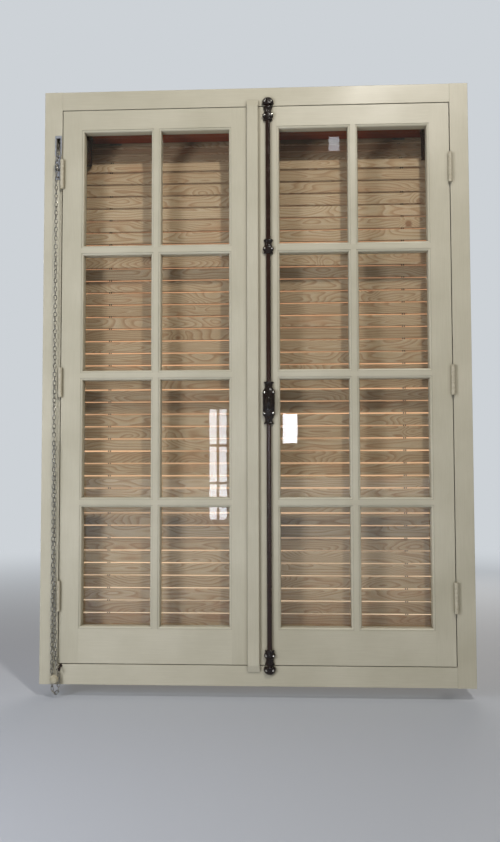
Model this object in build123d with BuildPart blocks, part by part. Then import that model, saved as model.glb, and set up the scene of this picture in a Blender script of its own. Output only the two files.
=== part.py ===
from build123d import *
from math import asin, atan2, cos, degrees, floor, hypot, pi, radians, sin
import os

# Glazed casement window with two leaves, a surface bolt and a slatted roller shutter behind.
# Millimetres. X to the viewer's right, room side towards -Y, +Z up.
# Drawn with the frame's room face at y = 0 and written out about the middle of its bottom.

# Frame
window_width = 1330.0
window_height = 1856.0
frame_depth = 62.0
jamb_face = 57.0
head_face = 59.0
sill_face = 62.0
rebate_lip = 12.0
leaf_seat_play = 0.5
frame_arris = 1.5
sill_nose_depth = 24.0
sill_nose_height = 30.0
fixing_hole_radius = 4.0
fixing_hole_inset = 403.0

# Leaves
leaf_gap = 2.5
meeting_gap = 5.0
leaf_thickness = 44.0
outer_stile_face = 68.5
inner_stile_face = 76.5
top_rail_face = 69.5
bottom_rail_face = 112.5
bar_face = 31.0
pane_rows = 4
quirk_width = 1.5
quirk_depth = 1.5
bead_radius = 6.0
glass_front = 31.0
glass_thickness = 3.0
glass_edge_play = 1.5
glass_rebate = 9.0
putty_toe = 1.0
weather_nose_depth = 20.0
weather_nose_height = 28.0
weather_nose_inset = 20.0

# Cover strip on the meeting stiles
strip_width = 37.0
strip_thickness = 10.0
strip_left = -23.0
strip_lap = 20.5
strip_bevel = 20.0
strip_tip = 4.0
strip_play = 0.4
strip_round = 4.0

# Hinges
knuckle_radius = 6.0
knuckle_length = 92.0
knuckle_play = 0.4
pin_radius = 3.2
pin_play = 0.05
hinge_end_offset = 205.0
flange_thickness = 2.5
flange_depth = 26.0
flange_play = 0.3
pocket_play = 0.3

# Surface bolt
bolt_x = 44.0
bolt_rise = 797.5
rod_width = 14.0
rod_depth = 9.0
rod_back_play = 0.6
rod_side_play = 0.4
rod_round = 4.0
rod_throw = 14.5
rod_tip_taper = 2.5
case_width = 38.0
case_height = 130.0
case_depth = 16.0
case_neck = 23.0
case_neck_run = 7.0
case_flare = 30.0
case_wall = 2.5
lobe_radius = 6.5
cast_edge = 1.2
pinion_pitch_radius = 8.0
pinion_teeth = 8
tooth_height = 2.6
tooth_foot = 2.9
tooth_flank = 70.0
tooth_play = 0.35
rack_back = 4.2
pinion_length = 8.0
spindle_radius = 5.0
spindle_play = 0.05
crank_height = 8.0
crank_place = 27.0
guide_width = 22.0
guide_flare = 30.0
guide_height = 44.0
guide_depth = 13.0
guide_end_play = 1.0
lobe_spacing = 22.0
lobe_rise = 7.0
middle_guide_drop = 445.5
keeper_radius = 17.0
keeper_foot = 15.0
keeper_height = 24.0
keeper_depth = 15.0
keeper_gap = 2.0
keeper_screw_spacing = 18.0
keeper_screw_rise = 4.0
screw_radius = 3.2
screw_height = 1.6
knob_half_length = 20.5
knob_radius = 8.5
knob_neck_length = 16.0
knob_seat_play = 0.4
knob_socket = 6.0
knob_foot_radius = 7.0
case_boss_depth = 2.5
case_boss_width = 20.0
case_boss_height = 36.0
cavity_play = 1.2

# Roller shutter curtain
curtain_depth = 38.0
slat_thickness = 12.0
slat_pitch = 39.6
slat_gap = 4.5
slat_end_play = 10.0
slat_hollow = 2.0
bottom_bar_height = 46.0
bottom_bar_thickness = 14.0
bottom_bar_round = 3.0
bottom_bar_least_z = 20.0
bend_drop = 229.35
hook_end_inset = 107.0
hook_radius = 1.8
hook_embed = 6.0
bent_slat_tilt = 18.0
lean_angle = 35.0
leaning_slat_count = 3
curtain_travel = 80.0

# Shutter guides, linings and box
lining_thickness = 18.0
lining_cover = 75.0
lining_depth = 66.0
guide_web = 2.5
guide_leg = 25.0
guide_play = 1.5
guide_top_play = 6.0
soffit_drop = 110.0
soffit_depth = 88.0
box_board = 12.0
box_rise = 24.0
box_inner_depth = 190.0
lambrequin_thickness = 15.0
lambrequin_drop = 303.0
cheek_block_width = 55.0
cheek_block_height = 98.0
cheek_block_play = 2.0

# Winding drum and its chain gear
drum_drop = 53.0
drum_radius = 44.0
drum_wall = 3.0
drum_end_play = 17.0
strap_thickness = 1.5
strap_width = 40.0
strap_play = 0.5
strap_lap = 24.0
shaft_radius = 8.0
shaft_play = 0.05
shaft_overhang = 4.0
end_disc_thickness = 6.0
shaft_hole_play = 4.0
bearing_thickness = 8.0
bearing_size = 56.0
chain_inset = 44.5
reel_hub_radius = 28.0
reel_flange_radius = 50.0
reel_flange_thickness = 2.0
reel_inner_width = 13.0
plate_width = 16.0
plate_height = 78.0
plate_thickness = 2.0
plate_screw_inset = 7.0
plate_drop = 204.0
pulley_rise = 38.0
pulley_y = -5.0
pulley_radius = 8.0
pulley_width = 9.0
pulley_groove = 1.0
pulley_rim_gap = 4.0
pulley_side_play = 1.0
pulley_play = 3.0
pulley_pin_radius = 2.5
ear_thickness = 2.0
ear_radius = 9.0
slot_width = 13.0
slot_height = 57.0
slot_rise = 65.0

# Operating chain, a single strand with its tail hooked back on itself
link_pitch = 13.4
link_inner_length = 13.7
link_width = 10.5
wire = 2.5
wrap_play = 1.2
wrap_degrees = 290.0
strand_offset = -3.5
strand_y = -7.5
loop_offset = 0.0
loop_width = 16.0
loop_return = 20.0
tail_offset = 9.5
tail_step = 4.0
tail_hinge_offset = 5.5
tail_hinge_step = 10.0
tail_hinge_z = 257.0
tail_top_offset = 3.0
tail_top_step = 14.0
tail_join_z = 77.0
tail_top_z = 752.0
chain_loop_z = -26.0
chain_bend = 8.0
chain_knob_offset = 7.5
chain_knob_z = 20.0
chain_knob_radius = 14.0
chain_knob_neck = 4.0
chain_knob_neck_length = 14.0
chain_knob_shoulder = 22.0
chain_knob_depth = 27.0
chain_knob_face = 9.0
chain_hook_offset = 22.5
chain_hook_z = 57.0
chain_hook_wire = 2.0
chain_hook_reach = 24.0
chain_hook_drop = 11.0

os.makedirs("parts", exist_ok=True)


# Worked-out places
half_width = window_width / 2
jamb_inner_x = half_width - jamb_face
head_inner_z = window_height - head_face
leaf_outer_x = jamb_inner_x - leaf_gap
leaf_inner_x = meeting_gap / 2
leaf_bottom_z = sill_face + leaf_gap
leaf_top_z = head_inner_z - leaf_gap
leaf_height = leaf_top_z - leaf_bottom_z
lip_front_y = leaf_thickness + leaf_seat_play
lip_inner_x = jamb_inner_x - rebate_lip
sight_outer_x = leaf_outer_x - outer_stile_face
sight_inner_x = leaf_inner_x + inner_stile_face
sight_bottom_z = leaf_bottom_z + bottom_rail_face
sight_top_z = leaf_top_z - top_rail_face
pane_width = (sight_outer_x - sight_inner_x - bar_face) / 2
pane_height = (sight_top_z - sight_bottom_z - (pane_rows - 1) * bar_face) / pane_rows
row_pitch = pane_height + bar_face
middle_bar_x = (sight_outer_x + sight_inner_x) / 2
scribe = glass_rebate + bar_face / 12
mould = quirk_width + bead_radius
hinge_x = jamb_inner_x - leaf_gap / 2
hinge_y = -(knuckle_radius + knuckle_play)
hinge_span = leaf_height / 2 - hinge_end_offset
hinge_places = [leaf_bottom_z + leaf_height / 2 + k * hinge_span for k in (-1, 0, 1)]
slat_height = slat_pitch - slat_gap
bolt_z = leaf_bottom_z + bolt_rise
lining_inner_x = half_width - lining_cover
slat_length = 2 * (lining_inner_x - slat_end_play)
hook_spacing = slat_length / 2 - hook_end_inset
soffit_z = window_height - soffit_drop
box_inner_top_z = window_height + box_rise - box_board
curtain_top_z = window_height - bend_drop
slat_count = floor((curtain_top_z - bottom_bar_height - bottom_bar_least_z) / slat_pitch)
first_gap_z = curtain_top_z - slat_count * slat_pitch
bottom_bar_z = first_gap_z - slat_gap / 2 - bottom_bar_height
drum_z = box_inner_top_z - drum_drop
chain_x = chain_inset - half_width
plate_bottom_z = window_height - plate_drop - plate_height
pulley_z = plate_bottom_z + pulley_rise
frame_rear_y = frame_depth
curtain_y = frame_rear_y + curtain_depth
box_rear_y = frame_rear_y + box_inner_depth
lean = radians(lean_angle)
bent = radians(bent_slat_tilt)
slot_low_z = plate_bottom_z + plate_height + 3


def save(piece, name):
    placed = piece.moved(Location((0, -frame_depth / 2, 0)))
    placed.label = name
    export_step(placed, "parts/" + name + ".step")


def group(solids):
    return Compound(list(solids))


def mirrored(piece):
    return mirror(piece, about=Plane.YZ)


def moulded_section(width, mould_low, mould_high):
    # Section of a leaf member: u runs across it, v from the room face to the back.
    # A moulded edge has a quirk, a quarter-round bead, the sight face and the glass rebate.
    with BuildSketch() as section:
        with BuildLine():
            face_ends = []
            back_ends = []
            for edge, inward, moulded in ((0, 1, mould_low), (width, -1, mould_high)):
                if not moulded:
                    Line((edge, 0), (edge, leaf_thickness))
                    face_ends.append(edge)
                    back_ends.append(edge)
                    continue
                shoulder = edge + inward * mould
                bead = edge + inward * bead_radius
                rebate = edge + inward * glass_rebate
                crown = bead - inward * bead_radius * sin(radians(45))
                Polyline((shoulder, 0), (shoulder, quirk_depth), (bead, quirk_depth))
                ThreePointArc(
                    (bead, quirk_depth),
                    (crown, quirk_depth + bead_radius * (1 - cos(radians(45)))),
                    (edge, quirk_depth + bead_radius),
                )
                Polyline(
                    (edge, quirk_depth + bead_radius),
                    (edge, glass_front),
                    (rebate, glass_front),
                    (rebate, leaf_thickness),
                )
                face_ends.append(shoulder)
                back_ends.append(rebate)
            Line((face_ends[0], 0), (face_ends[1], 0))
            Line((back_ends[0], leaf_thickness), (back_ends[1], leaf_thickness))
        make_face()
    return section.sketch


def upright_plane(x, z):
    return Plane(origin=(x, 0, z), x_dir=(1, 0, 0), z_dir=(0, 0, 1))


def level_plane(x, z):
    # The section's u runs up and its v runs back; the member runs towards -X.
    return Plane(origin=(x, 0, z), x_dir=(0, 0, 1), z_dir=(-1, 0, 0))


def front_plane(y):
    # A sketch on this plane has X to the right and Z up, seen from the room.
    return Plane(origin=(0, y, 0), x_dir=(1, 0, 0), z_dir=(0, -1, 0))


# Frame jambs, full height, with the rear lip that the leaves close against
with BuildPart() as right_jamb:
    with BuildSketch(Plane.XY):
        with BuildLine():
            Polyline(
                (jamb_inner_x, 0),
                (half_width, 0),
                (half_width, frame_depth),
                (lip_inner_x, frame_depth),
                (lip_inner_x, lip_front_y),
                (jamb_inner_x, lip_front_y),
                (jamb_inner_x, 0),
            )
        make_face()
    extrude(amount=window_height)
    front_arrises = right_jamb.edges().filter_by(Axis.Z).group_by(Axis.Y)[0]
    fillet(front_arrises, frame_arris)
    # Wall fixing holes
    fixing_holes = [
        Location((half_width, frame_depth / 2, z), (0, 90, 0))
        for z in (fixing_hole_inset, window_height - fixing_hole_inset)
    ]
    with Locations(*fixing_holes):
        Cylinder(fixing_hole_radius, 4 * jamb_face, mode=Mode.SUBTRACT)
    # Pockets for the hinge flanges
    for z in hinge_places:
        with BuildSketch(Plane.XY.offset(z - knuckle_length / 2 - pocket_play)):
            with Locations((hinge_x + flange_play / 2, 0)):
                Rectangle(
                    flange_thickness,
                    2 * (flange_depth + pocket_play),
                    align=(Align.MIN, Align.CENTER),
                )
        extrude(amount=knuckle_length / 2 + pocket_play, mode=Mode.SUBTRACT)

right_jamb_mirrored = mirrored(right_jamb.part)
with BuildPart() as left_jamb:
    add(right_jamb_mirrored)
    # Sloping slot that brings the chain through the jamb
    slot_plane = Plane(origin=(chain_x - slot_width / 2, 0, 0), x_dir=(0, 1, 0), z_dir=(1, 0, 0))
    with BuildSketch(slot_plane):
        with BuildLine():
            Polyline(
                (-1, slot_low_z),
                (-1, slot_low_z + slot_height),
                (frame_depth + 1, slot_low_z + slot_height + slot_rise),
                (frame_depth + 1, slot_low_z + 0.5 * slot_height + slot_rise),
                (-1, slot_low_z),
            )
        make_face()
    extrude(amount=slot_width, mode=Mode.SUBTRACT)
    # Pocket behind the guide pulley
    with Locations((chain_x, 0, pulley_z)):
        Box(
            slot_width,
            2 * (pulley_radius + pulley_y + pulley_play),
            2 * (pulley_radius + pulley_play),
            mode=Mode.SUBTRACT,
        )

save(right_jamb.part, "frame_right_jamb")
save(left_jamb.part, "frame_left_jamb")

# Head and bottom rail, scribed between the jambs
with BuildPart() as frame_head:
    with BuildSketch(Plane(origin=(jamb_inner_x, 0, 0), x_dir=(0, 0, 1), z_dir=(-1, 0, 0))):
        with BuildLine():
            Polyline(
                (window_height, 0),
                (window_height, frame_depth),
                (head_inner_z - rebate_lip, frame_depth),
                (head_inner_z - rebate_lip, lip_front_y),
                (head_inner_z, lip_front_y),
                (head_inner_z, 0),
                (window_height, 0),
            )
        make_face()
    extrude(amount=2 * jamb_inner_x)
    fillet(frame_head.edges().filter_by(Axis.X).group_by(Axis.Y)[0], frame_arris)
    add([right_jamb.part, right_jamb_mirrored], mode=Mode.SUBTRACT)
save(frame_head.part, "frame_head")

with BuildPart() as frame_sill:
    with BuildSketch(Plane(origin=(jamb_inner_x, 0, 0), x_dir=(0, 0, 1), z_dir=(-1, 0, 0))):
        with BuildLine():
            Polyline(
                (0, 0),
                (0, frame_depth),
                (sill_face + rebate_lip, frame_depth),
                (sill_face + rebate_lip, lip_front_y),
                (sill_face, lip_front_y),
                (sill_face, 0),
                (0, 0),
            )
        make_face()
    extrude(amount=2 * jamb_inner_x)
    fillet(frame_sill.edges().filter_by(Axis.X).group_by(Axis.Y)[0], frame_arris)
    add([right_jamb.part, right_jamb_mirrored], mode=Mode.SUBTRACT)
    # Nose that throws the rain off, between the linings
    with BuildSketch(Plane(origin=(lining_inner_x, 0, 0), x_dir=(0, 0, 1), z_dir=(-1, 0, 0))):
        with BuildLine():
            Polyline(
                (0, frame_depth),
                (0, frame_depth + sill_nose_depth),
                (sill_nose_height / 2, frame_depth + sill_nose_depth),
                (sill_nose_height, frame_depth),
                (0, frame_depth),
            )
        make_face()
    extrude(amount=2 * lining_inner_x)
save(frame_sill.part, "frame_sill_rail")

# Hinges: the frame half carries the pin, the leaf half drops over it
with BuildPart() as hinge_frame_half:
    with Locations((hinge_x, hinge_y, -knuckle_length / 2)):
        Cylinder(
            knuckle_radius,
            knuckle_length / 2 - pocket_play,
            align=(Align.CENTER, Align.CENTER, Align.MIN),
        )
        Cylinder(
            pin_radius,
            knuckle_length - 3 * pin_radius,
            align=(Align.CENTER, Align.CENTER, Align.MIN),
        )
    with Locations((hinge_x + flange_play / 2, hinge_y, -knuckle_length / 2)):
        Box(
            flange_thickness,
            flange_depth - hinge_y,
            knuckle_length / 2 - pocket_play,
            align=(Align.MIN, Align.MIN, Align.MIN),
        )

with BuildPart() as hinge_leaf_half:
    with Locations((hinge_x, hinge_y, 0)):
        Cylinder(knuckle_radius, knuckle_length / 2, align=(Align.CENTER, Align.CENTER, Align.MIN))
    with Locations((hinge_x - flange_play / 2, hinge_y, 0)):
        Box(
            flange_thickness,
            flange_depth - hinge_y,
            knuckle_length / 2,
            align=(Align.MAX, Align.MIN, Align.MIN),
        )
    with Locations((hinge_x, hinge_y, -1)):
        Cylinder(
            pin_radius + pin_play,
            knuckle_length / 2 - 2 * pin_radius + 1,
            align=(Align.CENTER, Align.CENTER, Align.MIN),
            mode=Mode.SUBTRACT,
        )

frame_halves = group(hinge_frame_half.part.moved(Location((0, 0, z))) for z in hinge_places)
leaf_halves = group(hinge_leaf_half.part.moved(Location((0, 0, z))) for z in hinge_places)
save(frame_halves, "right_hinge_frame_halves")
save(mirrored(frame_halves), "left_hinge_frame_halves")
save(leaf_halves, "right_hinge_leaf_halves")
save(mirrored(leaf_halves), "left_hinge_leaf_halves")

# One leaf, built on the right and mirrored for the left
outer_section = moulded_section(outer_stile_face, True, False)
with BuildPart() as outer_stile:
    with BuildSketch(upright_plane(sight_outer_x, leaf_bottom_z)):
        add(outer_section)
    extrude(amount=leaf_height)
    for z in hinge_places:
        with BuildSketch(Plane.XY.offset(z - pocket_play)):
            with Locations((hinge_x - flange_play / 2, 0)):
                Rectangle(
                    flange_thickness,
                    2 * (flange_depth + pocket_play),
                    align=(Align.MAX, Align.CENTER),
                )
        extrude(amount=knuckle_length / 2 + 2 * pocket_play, mode=Mode.SUBTRACT)

inner_section = moulded_section(inner_stile_face, False, True)
with BuildPart() as inner_stile:
    with BuildSketch(upright_plane(leaf_inner_x, leaf_bottom_z)):
        add(inner_section)
    extrude(amount=leaf_height)


def level_member(width, z, mould_low, mould_high):
    # A rail or bar scribed over the moulding of both stiles
    section = moulded_section(width, mould_low, mould_high)
    with BuildPart() as member:
        with BuildSketch(level_plane(sight_outer_x + scribe, z)):
            add(section)
        extrude(amount=sight_outer_x - sight_inner_x + 2 * scribe)
        add([outer_stile.part, inner_stile.part], mode=Mode.SUBTRACT)
    return member.part


top_rail = level_member(top_rail_face, sight_top_z, True, False)

plain_bottom_rail = level_member(bottom_rail_face, leaf_bottom_z, False, True)
with BuildPart() as bottom_rail:
    add(plain_bottom_rail)
    # Weather nose with its drip groove, on the outside
    with BuildSketch(level_plane(sight_outer_x + outer_stile_face - weather_nose_inset, 0)):
        with BuildLine():
            nose_low = sill_face + rebate_lip + weather_nose_height / 4
            nose_back = leaf_thickness + weather_nose_depth
            Polyline(
                (nose_low, leaf_thickness),
                (nose_low, leaf_thickness + weather_nose_depth * 0.5),
                (nose_low + 3, leaf_thickness + weather_nose_depth * 0.5),
                (nose_low + 3, leaf_thickness + weather_nose_depth * 0.7),
                (nose_low, leaf_thickness + weather_nose_depth * 0.7),
                (nose_low, nose_back),
                (nose_low + weather_nose_height * 0.3, nose_back),
                (nose_low + weather_nose_height, leaf_thickness),
                (nose_low, leaf_thickness),
            )
        make_face()
    extrude(amount=sight_outer_x + outer_stile_face - leaf_inner_x - 2 * weather_nose_inset)
    add([outer_stile.part, inner_stile.part], mode=Mode.SUBTRACT)

bar_places = [sight_bottom_z + k * row_pitch - bar_face for k in range(1, pane_rows)]
horizontal_bars = [level_member(bar_face, z, True, True) for z in bar_places]

bar_section = moulded_section(bar_face, True, True)
vertical_bars = []
for row in range(pane_rows):
    with BuildPart() as vertical_bar:
        row_low = sight_bottom_z + row * row_pitch
        with BuildSketch(upright_plane(middle_bar_x - bar_face / 2, row_low - scribe)):
            add(bar_section)
        extrude(amount=pane_height + 2 * scribe)
        neighbours = [bottom_rail.part, *horizontal_bars, top_rail]
        add(neighbours[row : row + 2], mode=Mode.SUBTRACT)
    vertical_bars.append(vertical_bar.part)

pane_centres = [
    (middle_bar_x + side * (pane_width + bar_face) / 2, sight_bottom_z + pane_height / 2 + row * row_pitch)
    for side in (-1, 1)
    for row in range(pane_rows)
]
glass_lap = glass_rebate - glass_edge_play
with BuildPart() as glass:
    with Locations(*[(x, glass_front + glass_thickness / 2, z) for x, z in pane_centres]):
        Box(pane_width + 2 * glass_lap, glass_thickness, pane_height + 2 * glass_lap)

# Putty wedge round each pane, from the glass to the back of the leaf
putty_front = glass_front + glass_thickness
with BuildPart() as putty_ring:
    with Locations((0, (putty_front + leaf_thickness) / 2, 0)):
        Box(
            pane_width + 2 * glass_rebate,
            leaf_thickness - putty_front,
            pane_height + 2 * glass_rebate,
        )
    with BuildSketch(front_plane(putty_front)):
        Rectangle(pane_width + 2 * putty_toe, pane_height + 2 * putty_toe)
    with BuildSketch(front_plane(leaf_thickness)):
        Rectangle(
            pane_width + 2 * (glass_rebate - putty_toe),
            pane_height + 2 * (glass_rebate - putty_toe),
        )
    loft(mode=Mode.SUBTRACT)
putty = group(putty_ring.part.moved(Location((x, 0, z))) for x, z in pane_centres)

leaf_pieces = {
    "outer_stile": outer_stile.part,
    "inner_stile": inner_stile.part,
    "top_rail": top_rail,
    "bottom_rail": bottom_rail.part,
    "horizontal_bars": group(horizontal_bars),
    "vertical_bars": group(vertical_bars),
    "glass": glass.part,
    "putty": putty,
}
for piece_name, piece in leaf_pieces.items():
    save(piece, "right_" + piece_name)
    save(mirrored(piece), "left_" + piece_name)

# Cover strip, fixed to the right leaf and lapping the left one
with BuildPart() as cover_strip:
    with BuildSketch(Plane.XY.offset(leaf_bottom_z - strip_lap)):
        with Locations((strip_left, 0)):
            Rectangle(strip_width, strip_thickness, align=(Align.MIN, Align.MAX))
    extrude(amount=leaf_height + 2 * strip_lap)
    fillet(cover_strip.edges().filter_by(Axis.Z).group_by(Axis.Y)[0], strip_round)
    # Long bevels at both ends
    with BuildSketch(Plane(origin=(strip_left, 0, 0), x_dir=(0, 1, 0), z_dir=(1, 0, 0))):
        with BuildLine():
            strip_low = leaf_bottom_z - strip_lap
            strip_high = leaf_top_z + strip_lap
            Polyline(
                (0, strip_low),
                (-strip_tip, strip_low),
                (-strip_thickness, strip_low + strip_bevel),
                (-strip_thickness, strip_high - strip_bevel),
                (-strip_tip, strip_high),
                (0, strip_high),
                (0, strip_low),
            )
        make_face()
    extrude(amount=strip_width, mode=Mode.INTERSECT)
    # It stands clear of the left leaf and of the frame
    with Locations((strip_left, 0, 0)):
        Box(
            leaf_inner_x - strip_left,
            2 * strip_play,
            3 * window_height,
            align=(Align.MIN, Align.CENTER, Align.CENTER),
            mode=Mode.SUBTRACT,
        )
    for z, side in ((leaf_top_z, Align.MIN), (leaf_bottom_z, Align.MAX)):
        with Locations((strip_left, 0, z)):
            Box(
                strip_width,
                2 * strip_play,
                2 * strip_lap,
                align=(Align.MIN, Align.CENTER, side),
                mode=Mode.SUBTRACT,
            )
save(cover_strip.part, "cover_strip")


# Surface bolt. Its pieces are drawn about the bolt's own centre line and then moved.
def rod_section(play):
    with BuildSketch() as section:
        with Locations((0, -rod_back_play + play)):
            Rectangle(
                rod_width + 2 * play,
                rod_depth + 2 * play,
                align=(Align.CENTER, Align.MAX),
            )
        fillet(section.vertices().group_by(Axis.Y)[0], rod_round)
    return section.sketch


def rod_channel(low, high):
    # The clear way for the rod, open at the back
    section = rod_section(rod_side_play)
    with BuildPart() as channel:
        with BuildSketch(Plane.XY.offset(low)):
            add(section)
            with Locations((0, -rod_back_play - rod_depth / 2)):
                Rectangle(rod_width + 2 * rod_side_play, rod_depth, align=(Align.CENTER, Align.MIN))
        extrude(amount=high - low)
    return channel.part


tooth_pitch = 2 * pi * pinion_pitch_radius / pinion_teeth
rack_root = pinion_pitch_radius + tooth_height / 2 + tooth_play
cavity_half = rack_root + rack_back + rod_side_play
rod_reach_up = head_inner_z + rod_throw - bolt_z
rod_reach_down = bolt_z - (sill_face - rod_throw)


def rod_with_rack(reach):
    # A rod that runs up from the case, with its rack on the right of the pinion
    section = rod_section(0)
    with BuildPart() as rod:
        with BuildSketch(Plane.XY.offset(crank_place)):
            add(section)
        extrude(amount=reach - crank_place)
        chamfer(rod.faces().sort_by(Axis.Z)[-1].edges(), rod_tip_taper / 2)
        leg_plane = Plane(origin=(0, -rod_back_play, 0), x_dir=(1, 0, 0), z_dir=(0, -1, 0))
        with BuildSketch(leg_plane):
            with Locations((rack_root, -1.5 * tooth_pitch)):
                Rectangle(
                    rack_back,
                    crank_place + crank_height + 1.5 * tooth_pitch,
                    align=(Align.MIN, Align.MIN),
                )
            with Locations((0, crank_place)):
                Rectangle(rack_root + rack_back, crank_height, align=(Align.MIN, Align.MIN))
        extrude(amount=pinion_length)
        # Teeth, one of them level with the pinion's centre at rest
        with BuildSketch(leg_plane):
            tooth_places = [(rack_root - tooth_height / 2, k * tooth_pitch) for k in range(-1, 4)]
            with Locations(*tooth_places):
                Trapezoid(tooth_foot, tooth_height, tooth_flank, rotation=90)
        extrude(amount=pinion_length)
    return rod.part


upper_rod = rod_with_rack(rod_reach_up)
lower_rod = rod_with_rack(rod_reach_down).rotate(Axis.Y, 180)
at_bolt = Location((bolt_x, 0, bolt_z))
save(upper_rod.moved(at_bolt), "upper_rod")
save(lower_rod.moved(at_bolt), "lower_rod")

case_front = case_depth + case_boss_depth
with BuildPart() as pinion:
    with BuildSketch(front_plane(-rod_back_play)):
        Circle(pinion_pitch_radius - tooth_height / 2)
        half_tooth = 180 / pinion_teeth
        with PolarLocations(pinion_pitch_radius - tooth_play / 2, pinion_teeth, start_angle=half_tooth):
            Trapezoid(tooth_foot, tooth_height, tooth_flank, rotation=-90)
    extrude(amount=pinion_length)
    with BuildSketch(front_plane(-rod_back_play - pinion_length)):
        Circle(spindle_radius)
    extrude(amount=case_front + knob_seat_play + knob_socket - rod_back_play - pinion_length)
save(pinion.part.moved(at_bolt), "bolt_pinion")

case_channel = rod_channel(-case_height, case_height)
cavity_top = crank_place + crank_height + cavity_play
shoulder_z = cavity_top + case_wall
lobe_x = case_width / 2 - lobe_radius
lobe_z = shoulder_z - lobe_radius
case_right = [
    (case_flare / 2, case_height / 2),
    (case_neck / 2, case_height / 2 - case_neck_run),
    (case_neck / 2, shoulder_z + case_neck_run),
    (case_width / 2, shoulder_z),
]
case_right += [(x, -z) for x, z in reversed(case_right)]
case_left = [(-x, z) for x, z in reversed(case_right)]
with BuildPart() as bolt_case:
    with BuildSketch(Plane.XZ):
        with BuildLine():
            Polyline(*case_right, *case_left, case_right[0])
        make_face()
    extrude(amount=case_depth)
    front_edges = bolt_case.faces().sort_by(Axis.Y)[0].edges()
    chamfer(front_edges, cast_edge)
    with BuildSketch(Plane.XZ.offset(case_depth)):
        Ellipse(case_boss_width / 2, case_boss_height / 2)
    extrude(amount=case_boss_depth)
    add(case_channel, mode=Mode.SUBTRACT)
    Box(
        2 * cavity_half,
        2 * (rod_back_play + pinion_length + cavity_play),
        2 * cavity_top,
        mode=Mode.SUBTRACT,
    )
    Cylinder(spindle_radius + spindle_play, 4 * case_depth, rotation=(90, 0, 0), mode=Mode.SUBTRACT)
save(bolt_case.part.moved(at_bolt), "bolt_case")

# Oval knob on its neck, with a socket for the spindle's end
knob_seat_y = -(case_front + knob_seat_play)
knob_centre_y = knob_seat_y - knob_neck_length
knob_turns = [radians(angle) for angle in (45, 0, -45)]
with BuildPart() as bolt_knob:
    with BuildSketch(front_plane(knob_centre_y)):
        with BuildLine():
            Polyline(
                (0, knob_half_length),
                *[(knob_radius * cos(turn), knob_half_length * sin(turn)) for turn in knob_turns],
                (0, -knob_half_length),
                (0, knob_half_length),
            )
        make_face()
    revolve(axis=Axis((0, knob_centre_y, 0), (0, 0, 1)))
    with BuildSketch(front_plane(knob_seat_y)):
        Circle(knob_foot_radius)
        Circle(spindle_radius, mode=Mode.SUBTRACT)
    extrude(amount=knob_socket)
    with BuildSketch(front_plane(knob_seat_y - knob_socket)):
        Circle(knob_foot_radius)
    extrude(amount=knob_neck_length - knob_socket)
save(bolt_knob.part.moved(at_bolt), "bolt_knob")


def rod_guide(lobe_offset):
    # A cast bridge over the rod: a waisted neck, flared ends and two screw lobes
    channel = rod_channel(-guide_height, guide_height)
    half = guide_height / 2
    flare = guide_flare / 2
    waist = guide_width / 2
    right_side = [(flare, half), (waist, half / 2), (waist, -half / 2), (flare, -half)]
    left_side = [(-x, z) for x, z in reversed(right_side)]
    with BuildPart() as guide:
        with BuildSketch(Plane.XZ):
            with BuildLine():
                Polyline(*right_side, *left_side, right_side[0])
            make_face()
            with Locations((0, lobe_offset)):
                with GridLocations(lobe_spacing, 0, 2, 1):
                    RegularPolygon(lobe_radius, 8)
        extrude(amount=guide_depth)
        chamfer(guide.faces().sort_by(Axis.Y)[0].edges(), cast_edge)
        add(channel, mode=Mode.SUBTRACT)
    return guide.part


guide_places = [
    (leaf_bottom_z + guide_end_play + guide_height / 2, lobe_rise),
    (leaf_top_z - middle_guide_drop, -lobe_rise),
    (leaf_top_z - guide_end_play - guide_height / 2, -lobe_rise),
]
guides = [rod_guide(offset).moved(Location((bolt_x, 0, z))) for z, offset in guide_places]
save(group(guides), "bolt_guides")

keeper_base = keeper_height - keeper_radius
keeper_reach = rod_throw - keeper_base - keeper_gap + rod_tip_taper
keeper_channel = rod_channel(-keeper_radius, keeper_reach)
with BuildPart() as upper_keeper:
    with BuildSketch(Plane.XZ):
        Circle(keeper_radius)
        Rectangle(
            3 * keeper_radius,
            3 * keeper_radius,
            align=(Align.CENTER, Align.MAX),
            mode=Mode.SUBTRACT,
        )
        Rectangle(2 * keeper_foot, keeper_base, align=(Align.CENTER, Align.MAX))
    extrude(amount=keeper_depth)
    chamfer(upper_keeper.faces().sort_by(Axis.Y)[0].edges(), cast_edge)
    add(keeper_channel, mode=Mode.SUBTRACT)
keeper_centre = keeper_gap + keeper_base
at_head = Location((bolt_x, 0, head_inner_z + keeper_centre))
at_sill = Location((bolt_x, 0, sill_face - keeper_centre))
keepers = [upper_keeper.part.moved(at_head), upper_keeper.part.rotate(Axis.Y, 180).moved(at_sill)]
save(group(keepers), "bolt_keepers")


def screw_heads(places):
    with BuildPart() as heads:
        for x, y, z in places:
            with BuildSketch(front_plane(y)):
                with Locations((x, z)):
                    RegularPolygon(screw_radius, 8)
            extrude(amount=screw_height)
    return heads.part


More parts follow.
